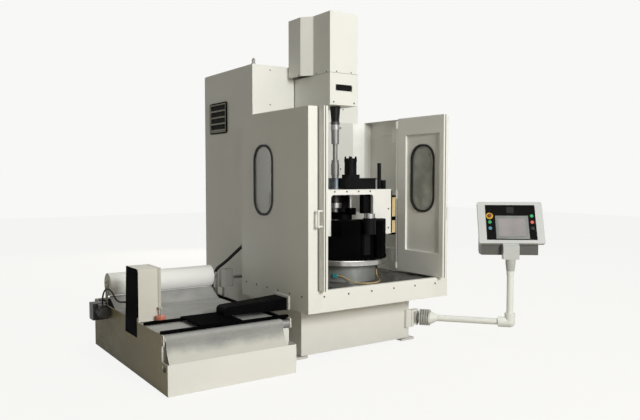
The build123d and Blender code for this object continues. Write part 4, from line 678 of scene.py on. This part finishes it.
def activate(piece):
    """Makes a piece the only one selected, and active."""
    deselect()
    piece.select_set(True)
    bpy.context.view_layer.objects.active = piece


def add_object(name, data):
    """New object of the scene."""
    piece = bpy.data.objects.new(name, data)
    bpy.context.scene.collection.objects.link(piece)
    return piece


def start_box(name, low, high):
    """A block between two corners, selected and active, its place in its mesh."""
    deselect()
    low = Vector(low)
    high = Vector(high)
    bpy.ops.mesh.primitive_cube_add(size=1, location=(low + high) / 2)
    piece = bpy.context.object
    piece.name = name
    piece.scale = high - low
    bpy.ops.object.transform_apply()
    return piece


def round_edges(piece, width, segments=2):
    """Bevels every sharp edge and keeps the result."""
    modifier = piece.modifiers.new("edges", "BEVEL")
    modifier.width = width
    modifier.segments = segments
    modifier.limit_method = "ANGLE"
    bpy.context.view_layer.objects.active = piece
    bpy.ops.object.modifier_apply(modifier=modifier.name)
    return piece


def join(name, pieces):
    """Joins like pieces into one object."""
    deselect()
    for piece in pieces:
        piece.select_set(True)
    bpy.context.view_layer.objects.active = pieces[0]
    bpy.ops.object.join()
    pieces[0].name = name
    return pieces[0]


def settle(piece, body, material):
    """Smooths a finished piece by angle, gives it its material and lets it ride on a body."""
    activate(piece)
    bpy.ops.object.shade_smooth_by_angle(angle=math.radians(35))
    piece.data.materials.clear()
    piece.data.materials.append(material)
    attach(piece, body)


def pick_faces(piece, test):
    """Selects the faces that pass a test on their normal."""
    bpy.context.view_layer.objects.active = piece
    bpy.ops.object.mode_set(mode="EDIT")
    bpy.ops.mesh.select_mode(type="FACE")
    bpy.ops.mesh.select_all(action="DESELECT")
    bpy.ops.object.mode_set(mode="OBJECT")
    for face in piece.data.polygons:
        face.select = test(face.normal)
    bpy.ops.object.mode_set(mode="EDIT")


def inset(piece, test, width, depth):
    """Insets the chosen faces and moves the inner ones along their normals."""
    pick_faces(piece, test)
    bpy.ops.mesh.inset(thickness=width, depth=depth)
    bpy.ops.object.mode_set(mode="OBJECT")


def place(piece, matrix):
    """Moves a piece made at the origin to its spot and applies that to its mesh."""
    activate(piece)
    piece.matrix_world = matrix
    bpy.ops.object.transform_apply()
    return piece


def copy_at(piece, name, shift):
    """Copy of a piece with its own mesh, moved by a step."""
    twin = piece.copy()
    twin.data = piece.data.copy()
    twin.name = name
    bpy.context.scene.collection.objects.link(twin)
    return place(twin, Matrix.Translation(Vector(shift)))


def rivet(name, centre, radius, axis_turn):
    """Low domed head standing on a surface; the turn brings its axis from +Z to the surface's normal."""
    deselect()
    bpy.ops.mesh.primitive_uv_sphere_add(segments=20, ring_count=10, radius=radius)
    head = bpy.context.object
    head.name = name
    bpy.ops.object.mode_set(mode="EDIT")
    bpy.ops.mesh.select_all(action="SELECT")
    bpy.ops.mesh.bisect(plane_co=(0, 0, 0), plane_no=(0, 0, 1), use_fill=True, clear_inner=True)
    bpy.ops.object.mode_set(mode="OBJECT")
    head.scale = (1, 1, 0.55)
    bpy.ops.object.transform_apply()
    return place(head, Matrix.Translation(Vector(centre)) @ axis_turn)


def route(name, points, radius):
    """Round cord along a smooth line whose control points are the route's points."""
    line = bpy.data.curves.new(name, "CURVE")
    line.dimensions = "3D"
    line.resolution_u = 14
    line.bevel_depth = radius
    line.bevel_resolution = 6
    line.use_fill_caps = True
    spline = line.splines.new("NURBS")
    spline.points.add(len(points) - 1)
    for spot, point in zip(spline.points, points):
        spot.co = (*point, 1.0)
    spline.order_u = 3
    spline.use_endpoint_u = True
    return add_object(name, line)


def drum_point(turn, radius, z):
    """Point round the index axis; the turn in degrees is 0 at the front and grows to the right."""
    angle = math.radians(turn)
    return (radius * math.sin(angle), INDEX_Y - radius * math.cos(angle), z)


def settings():
    """The user's colours and sizes."""
    return bpy.context.scene.honing_finish, bpy.context.scene.honing_size


class HONING_OT_finishes(bpy.types.Operator):
    """Give every carried-over solid its finish"""

    bl_idname = "honing.finishes"
    bl_label = "Paint the solids"

    def execute(self, context):
        finish, _ = settings()
        coats = {
            enamel("cream_enamel", finish.enamel): (
                "base_pedestal", "coolant_tray", "left_wall_panel", "right_wall_panel",
                "cabinet_shell", "cabinet_door", "left_door_carriage", "right_door_carriage"),
            enamel("leaf_enamel", finish.enamel, groove=LEAF_GROOVE): ("left_door_leaf", "right_door_leaf"),
            tank_finish("tank_enamel", finish.enamel): ("filter_tank",),
            # The splash panel's enamel is darkened as painted shade.
            enamel("splash_enamel_painted_shade", shade(finish.enamel, 0.84)): ("rear_splash_panel",),
            enamel("head_enamel", finish.enamel, seam=HEAD_SEAM): ("head_housing", "head_cover"),
            enamel("bridge_enamel", finish.bridge, 0.33): ("fixture_bridge",),
            arm_finish("arm_paint", finish.pendant): ("pendant_arm",),
            enamel("foot_enamel", shade(finish.enamel, 0.86), 0.45): ("levelling_feet",),
            dark_plate("oily_plate"): ("tray_floor_plates",),
            window_glass("window_glass"): ("wall_window_pane",),
            window_glass("door_glass", (0.40, 0.41, 0.37), 0.66): ("left_door_pane", "right_door_pane"),
            rubber("window_rubber"): ("wall_window_seal", "left_door_seal", "right_door_seal"),
            vent_finish("vent_plastic", finish.enamel): ("cabinet_vent",),
            turned_steel("eye_steel", (0.34, 0.33, 0.31), 0.38): ("lifting_eyes",),
            cast_paint("column_cast", (0.20, 0.20, 0.19)): ("column",),
            turned_steel("turned_steel", finish.steel, 0.34): ("spindle_quill",),
            tool_finish("tool_steel", shade(finish.steel, 0.68)): ("honing_tool",),
            clamp_finish("clamp_steel", finish.black, finish.steel): ("clamp_rod",),
            turned_steel("disc_steel", shade(finish.steel, 1.35), 0.16): ("index_disc",),
            turned_steel("cup_steel", (0.36, 0.35, 0.34), 0.30): ("work_cups",),
            satin_black("taper_black", (0.008, 0.008, 0.0075), 0.40, 0.15): ("tool_holder",),
            abrasive("honing_grit"): ("honing_stones",),
            drum_finish("drum_gray"): ("index_base",),
            satin_black("fixture_black", finish.black): ("fixture_housing", "filter_bed"),
            # The clamp cylinder gets the fixture black three times lighter as a painted sheen.
            satin_black("clamp_black_painted_sheen", shade(finish.black, 3.0), 0.42, 0.05): ("clamp_cylinder",),
            gauge_finish("gauge_black", finish.black, finish.steel): ("gauge_post",),
            bushing_finish("bushing_blue"): ("guide_bushing",),
            bezel_finish("bezel_gray", finish.bezel): ("panel_bezel",),
            moulded("housing_plastic", (0.072, 0.069, 0.058), 0.46): ("panel_housing",),
            moulded("stop_red", (0.16, 0.024, 0.012), 0.36): ("emergency_stop",),
            moulded("lens_green", (0.035, 0.36, 0.13), 0.20): ("left_green_button", "right_green_button"),
            moulded("lens_blue", (0.09, 0.25, 0.38), 0.20): ("left_blue_button",),
            moulded("lens_red", (0.62, 0.13, 0.10), 0.20): ("right_red_button",),
            moulded("knob_black", (0.014, 0.014, 0.014), 0.30): ("selector_switch",),
            clean_paper("roll_paper", finish.paper): ("paper_roll",),
            turned_steel("roller_steel", (0.30, 0.30, 0.29), 0.36, "X"): ("front_roller",),
            drive_finish("drive_beige", finish.drive, shade(finish.black, 1.5)): ("drive_box",),
            moulded("float_pink", (0.60, 0.19, 0.13), 0.42): ("level_float",),
            chute_finish("chute_black", finish.black, finish.enamel): ("coolant_chute",),
            # The pump unit's enamel is darkened as painted shade.
            pump_finish("pump_paint_painted_shade", shade(finish.enamel, 0.36)): ("pump_unit",),
            cast_paint("motor_paint", (0.022, 0.021, 0.018)): ("gear_motor",),
            turned_steel("screw_steel", (0.045, 0.045, 0.043), 0.34): ("panel_screws",),
        }
        for material, nodes in coats.items():
            for node in nodes:
                paint_node(node, material)
        return {"FINISHED"}


class HONING_OT_nameplate(bpy.types.Operator):
    """Add the bare plate on the head, with its rivets"""

    bl_idname = "honing.nameplate"
    bl_label = "Nameplate"

    def execute(self, context):
        _, size = settings()
        half_x, half_z = size.plate_width / 2, size.plate_height / 2
        plate = start_box("nameplate", (-half_x, HEAD_FRONT - 0.0022, PLATE_Z - half_z),
                          (half_x, HEAD_FRONT - 0.0001, PLATE_Z + half_z))
        inset(plate, lambda normal: normal.y < -0.9, 0.004, -0.0006)
        round_edges(plate, 0.0005)
        heads = []
        for n, (x, z) in enumerate(((-1, -1), (1, -1), (-1, 1), (1, 1))):
            spot = (x * (half_x - RIVET_INSET), HEAD_FRONT - 0.0016, PLATE_Z + z * (half_z - RIVET_INSET))
            heads.append(rivet(f"rivet_{n}", spot, RIVET_R, FRONT_TURN))
        settle(plate, "machine", satin_black("plate_black", (0.008, 0.008, 0.008), 0.40, 0.05))
        steel = turned_steel("rivet_steel", (0.5, 0.5, 0.48))
        settle(join("nameplate_rivets", heads), "machine", steel)
        return {"FINISHED"}


class HONING_OT_screws(bpy.types.Operator):
    """Add the cover screws of the hood and the cabinet"""

    bl_idname = "honing.screws"
    bl_label = "Cover screws"

    def execute(self, context):
        front = rivet("cover_screw", (0, 0, 0), SCREW_R, FRONT_TURN)
        heads = []
        for x, y, z in FRONT_SCREWS:
            for side in (-1, 1):
                heads.append(copy_at(front, "front_screw", (side * x, y, z)))
        for side in (-1, 1):
            aside = rivet("side_screw", (0, 0, 0), SCREW_R, Matrix.Rotation(math.radians(side * 90), 4, "Y"))
            for x, y, z in SIDE_SCREWS:
                heads.append(copy_at(aside, "hood_screw", (side * x, y, z)))
            bpy.data.objects.remove(aside)
        bpy.data.objects.remove(front)
        steel = turned_steel("cover_screw", (0.05, 0.05, 0.047), 0.36)
        settle(join("cover_screws", heads), "machine", steel)
        return {"FINISHED"}


class HONING_OT_screen(bpy.types.Operator):
    """Add the display in the control panel's recess"""

    bl_idname = "honing.screen"
    bl_label = "Panel display"

    def execute(self, context):
        half_x, half_y = (side * MM for side in SCREEN_HALF)
        glass = start_box("panel_screen", (-half_x, -half_y, -0.0014), (half_x, half_y, 0.0010))
        inset(glass, lambda normal: normal.z > 0.9, SCREEN_RIM * MM, -0.0007)
        round_edges(glass, 0.0004)
        spot = Matrix.Translation(panel_spot(*SCREEN_SPOT)) @ PANEL_TURN.to_4x4()
        settle(place(glass, spot), "panel", screen_finish("display"))
        return {"FINISHED"}


class HONING_OT_guards(bpy.types.Operator):
    """Add the beige cable guards with their black end caps beside the bridge"""

    bl_idname = "honing.guards"
    bl_label = "Bridge side guards"

    def execute(self, context):
        finish, _ = settings()
        bars = []
        caps = []
        for n, (low, high) in enumerate(GUARD_HEIGHTS):
            bar = self.block(f"guard_{n}", GUARD_BAR, low, high)
            inset(bar, lambda normal: normal.y < -0.9, 0.006, -0.004)
            bars.append(round_edges(bar, 0.0025, 3))
            for z in (low, high):
                cap = self.block("guard_cap", GUARD_CAP, z - GUARD_CAP_HALF, z + GUARD_CAP_HALF)
                inset(cap, lambda normal: abs(normal.z) > 0.9, 0.005, 0.002)
                caps.append(round_edges(cap, 0.002, 2))
        strip = self.block("guard_strip", GUARD_STRIP, *GUARD_STRIP_HEIGHTS)
        inset(strip, lambda normal: normal.x > 0.9, 0.005, -0.003)
        caps.append(round_edges(strip, 0.0015))
        beige = moulded("guard_beige", (0.66, 0.50, 0.25), 0.45)
        settle(join("bridge_guards", bars), "machine", beige)
        settle(join("bridge_guard_caps", caps), "machine", satin_black("cap_black", finish.black))
        return {"FINISHED"}

    @staticmethod
    def block(name, outline, low, high):
        """Block beside the bridge from its outline and its two heights."""
        (x0, y0), (x1, y1) = outline
        return start_box(name, (BRIDGE_SIDE + x0, y0, low), (BRIDGE_SIDE + x1, y1, high))


class HONING_OT_paper(bpy.types.Operator):
    """Lay the filter paper from the roll, along the bed, over the front roller and into the bin"""

    bl_idname = "honing.paper"
    bl_label = "Filter paper"

    def execute(self, context):
        profile = self.path()
        points = []
        for y, z in profile:
            for column in range(ACROSS_STEPS + 1):
                x = WEB_X0 + (WEB_X1 - WEB_X0) * column / ACROSS_STEPS
                points.append(self.crease(x, y, z))
        faces = []
        for row in range(len(profile) - 1):
            for column in range(ACROSS_STEPS):
                corner = row * (ACROSS_STEPS + 1) + column
                below = corner + ACROSS_STEPS + 1
                faces.append((corner, below, below + 1, corner + 1))
        mesh = bpy.data.meshes.new("filter_paper")
        mesh.from_pydata(points, [], faces)
        sheet = add_object("filter_paper", mesh)
        activate(sheet)
        bpy.ops.object.mode_set(mode="EDIT")
        bpy.ops.mesh.select_all(action="SELECT")
        bpy.ops.mesh.normals_make_consistent(inside=False)
        bpy.ops.object.mode_set(mode="OBJECT")
        skin = sheet.modifiers.new("thickness", "SOLIDIFY")
        skin.thickness = PAPER_T
        skin.offset = 0.0
        bpy.ops.object.modifier_apply(modifier=skin.name)
        settle(sheet, "machine", used_paper("web_paper"))
        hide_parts("paper_web")
        return {"FINISHED"}

    @staticmethod
    def path():
        """The sheet's line seen from the side, from the roll down into the bin."""
        bed = BED_TOP + PAPER_LIFT
        reach = ROLLER_R + PAPER_LIFT
        line = list(SLOPE) + [(BED_REAR, bed)]
        for n in range(1, BED_STEPS + 1):
            line.append((BED_REAR + (ROLLER_Y - BED_REAR) * n / BED_STEPS, bed))
        for n in range(1, BEND_STEPS + 1):
            angle = math.radians(90 + 90 * n / BEND_STEPS)
            line.append((ROLLER_Y + reach * math.cos(angle), ROLLER_Z + reach * math.sin(angle)))
        for n in range(1, HANG_STEPS + 1):
            line.append((ROLLER_Y - reach, ROLLER_Z + (WEB_LOW - ROLLER_Z) * n / HANG_STEPS))
        return line

    @staticmethod
    def crease(x, y, z):
        """Point of the sheet with the slack waves that paper takes between its supports."""
        if y > BED_REAR:
            fall = math.sin(math.pi * (y - BED_REAR) / (SLOPE[0][0] - BED_REAR))
            return (x, y, z + SLOPE_SLACK * fall * math.sin(9.0 * x + 1.0))
        if z < ROLLER_Z:
            depth = (ROLLER_Z - z) / (ROLLER_Z - WEB_LOW)
            wave = 0.5 + 0.5 * math.sin(7.5 * x + 1.3)
            lean = max(0.0, depth - 0.28) / 0.72
            flare = HANG_FLARE * lean ** 1.25 * (0.93 + 0.07 * wave)
            return (x, y - flare - HANG_RIPPLE * depth * math.sin(31.0 * x), z)
        if y <= ROLLER_Y:
            return (x, y, z)
        hold = min(1.0, (y - ROLLER_Y) / 0.05) * min(1.0, abs(y - BAR_Y) / 0.06) * min(1.0, (BED_REAR - y) / 0.08)
        swell = 0.5 + 0.5 * math.sin(11.0 * x + 5.0 * y) * math.sin(6.5 * y + 2.0 * x + 0.7)
        return (x, y, z + BED_SLACK * hold * swell)


class HONING_OT_cords(bpy.types.Operator):
    """Run the coolant hose, the filter's drive cable and the index table's sensor lead"""

    bl_idname = "honing.cords"
    bl_label = "Hose and cables"

    def execute(self, context):
        hose = route("coolant_hose_line", HOSE_POINTS, 0.015)
        cable = route("drive_cable_line", CABLE_POINTS, 0.007)
        lead = route("sensor_lead_line", [drum_point(*spot) for spot in LEAD_ROUTE], 0.0045)
        for piece, node, slot, coat in (
                (hose, "coolant_hose", "black_rubber", rubber("hose_rubber", (0.010, 0.010, 0.010))),
                (cable, "drive_cable", "black_rubber", rubber("cable_rubber", (0.008, 0.008, 0.008))),
                (lead, "sensor_lead", "tan_sheath", moulded("lead_sheath", (0.56, 0.40, 0.17), 0.42))):
            piece.data.materials.append(coat)
            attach(piece, "machine")
            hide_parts(node)
        return {"FINISHED"}


class HONING_OT_studio(bpy.types.Operator):
    """Set up the floor, the lamps, the white surroundings and the camera"""

    bl_idname = "honing.studio"
    bl_label = "Studio"

    def execute(self, context):
        _, size = settings()
        deselect()
        bpy.ops.mesh.primitive_plane_add(size=40, location=(0, 0, -0.0005))
        floor = context.object
        floor.name = "studio_floor"
        bpy.ops.object.transform_apply()
        floor.data.materials.append(floor_finish("studio_floor"))
        self.surroundings(context.scene)
        for name, spot, target, width, share, tint, gleam in LAMPS:
            self.lamp(name, spot, target, width, size.key_power * share, tint, gleam)
        lens = bpy.data.cameras.new("photo_camera")
        lens.lens = size.lens
        lens.sensor_width = 36.0
        lens.sensor_fit = "HORIZONTAL"
        lens.clip_end = 200.0
        camera = add_object("photo_camera", lens)
        across = Vector(CAMERA_RIGHT).normalized()
        ahead = Vector(CAMERA_AHEAD).normalized()
        turn = Matrix((across, across.cross(ahead), -ahead)).transposed().to_4x4()
        camera.matrix_world = Matrix.Translation(CAMERA_SPOT) @ turn
        context.scene.camera = camera
        context.scene.view_settings.view_transform = "Standard"
        return {"FINISHED"}

    @staticmethod
    def surroundings(scene):
        """White for what the camera, mirrors and glass see; a low even fill for the rest."""
        world = scene.world or bpy.data.worlds.new("studio_world")
        scene.world = world
        world.use_nodes = True
        tree = world.node_tree
        tree.nodes.clear()
        fill = new_node(tree, "ShaderNodeBackground", Color=(0.972, 0.97, 0.80, 1), Strength=0.165)
        white = new_node(tree, "ShaderNodeBackground", Color=(0.94, 0.94, 0.925, 1), Strength=1.0)
        send_mix(tree, "ShaderNodeOutputWorld", seen(tree), fill, white)

    @staticmethod
    def lamp(name, spot, target, width, power, tint, gleam):
        """Square soft lamp aimed at a point; without gleam it makes no highlights."""
        data = bpy.data.lights.new(name, "AREA")
        data.shape = "SQUARE"
        data.size = width
        data.energy = power
        data.color = tint
        lamp = add_object(name, data)
        lamp.visible_glossy = gleam
        aim = (Vector(target) - Vector(spot)).to_track_quat("-Z", "Y")
        lamp.matrix_world = Matrix.Translation(spot) @ aim.to_matrix().to_4x4()


def new_node(tree, kind, **sockets):
    """New shader node with its inputs filled."""
    shader = tree.nodes.new(kind)
    for key, value in sockets.items():
        shader.inputs[key].default_value = value
    return shader


def send_mix(tree, output, share, first, second):
    """Sends out the second shader by a share and the first for the rest."""
    mixer = tree.nodes.new("ShaderNodeMixShader")
    tree.links.new(share, mixer.inputs["Fac"])
    tree.links.new(first.outputs[0], mixer.inputs[1])
    tree.links.new(second.outputs[0], mixer.inputs[2])
    tree.links.new(mixer.outputs[0], tree.nodes.new(output).inputs["Surface"])


def seen(tree):
    """Socket that is 1 for rays from the camera, a mirror or glass."""
    path = tree.nodes.new("ShaderNodeLightPath")
    value = path.outputs["Is Camera Ray"]
    for other in ("Is Glossy Ray", "Is Transmission Ray"):
        top = tree.nodes.new("ShaderNodeMath")
        top.operation = "MAXIMUM"
        tree.links.new(value, top.inputs[0])
        tree.links.new(path.outputs[other], top.inputs[1])
        value = top.outputs[0]
    return value


def floor_finish(name):
    """Pale studio floor: matt for light, nearly white to the eye with a trace of shadow."""
    material = bpy.data.materials.new(name)
    material.use_nodes = True
    tree = material.node_tree
    tree.nodes.clear()
    matt = new_node(tree, "ShaderNodeBsdfDiffuse", Color=(0.42, 0.38, 0.30, 1))
    glow = new_node(tree, "ShaderNodeEmission", Color=(0.975, 0.975, 0.96, 1), Strength=1.045)
    share = tree.nodes.new("ShaderNodeMath")
    share.operation = "MULTIPLY"
    share.inputs[1].default_value = FLOOR_GLOW
    tree.links.new(seen(tree), share.inputs[0])
    send_mix(tree, "ShaderNodeOutputMaterial", share.outputs[0], matt, glow)
    return material


class HONING_PT_panel(bpy.types.Panel):
    """The honing machine's settings and pieces"""

    bl_idname = "HONING_PT_panel"
    bl_label = "Honing machine"
    bl_space_type = "VIEW_3D"
    bl_region_type = "UI"
    bl_category = "Honing"

    def draw(self, context):
        for group in (context.scene.honing_finish, context.scene.honing_size):
            for name in group.__annotations__:
                self.layout.prop(group, name)
        for step in STEPS:
            self.layout.operator(step.bl_idname)


STEPS = (HONING_OT_finishes, HONING_OT_nameplate, HONING_OT_screws, HONING_OT_screen, HONING_OT_guards,
         HONING_OT_paper, HONING_OT_cords, HONING_OT_studio)
CLASSES = (HoningFinish, HoningSize) + STEPS + (HONING_PT_panel,)


def register():
    """Adds the classes and the scene's settings."""
    for item in CLASSES:
        bpy.utils.register_class(item)
    bpy.types.Scene.honing_finish = bpy.props.PointerProperty(type=HoningFinish)
    bpy.types.Scene.honing_size = bpy.props.PointerProperty(type=HoningSize)


def unregister():
    """Takes the settings and the classes away again."""
    del bpy.types.Scene.honing_size
    del bpy.types.Scene.honing_finish
    for item in reversed(CLASSES):
        bpy.utils.unregister_class(item)


def main():
    """Builds the dressed machine step by step."""
    register()
    bpy.ops.honing.finishes()
    bpy.ops.honing.nameplate()
    bpy.ops.honing.screws()
    bpy.ops.honing.screen()
    bpy.ops.honing.guards()
    bpy.ops.honing.paper()
    bpy.ops.honing.cords()
    bpy.ops.honing.studio()


if __name__ == "__main__":
    main()
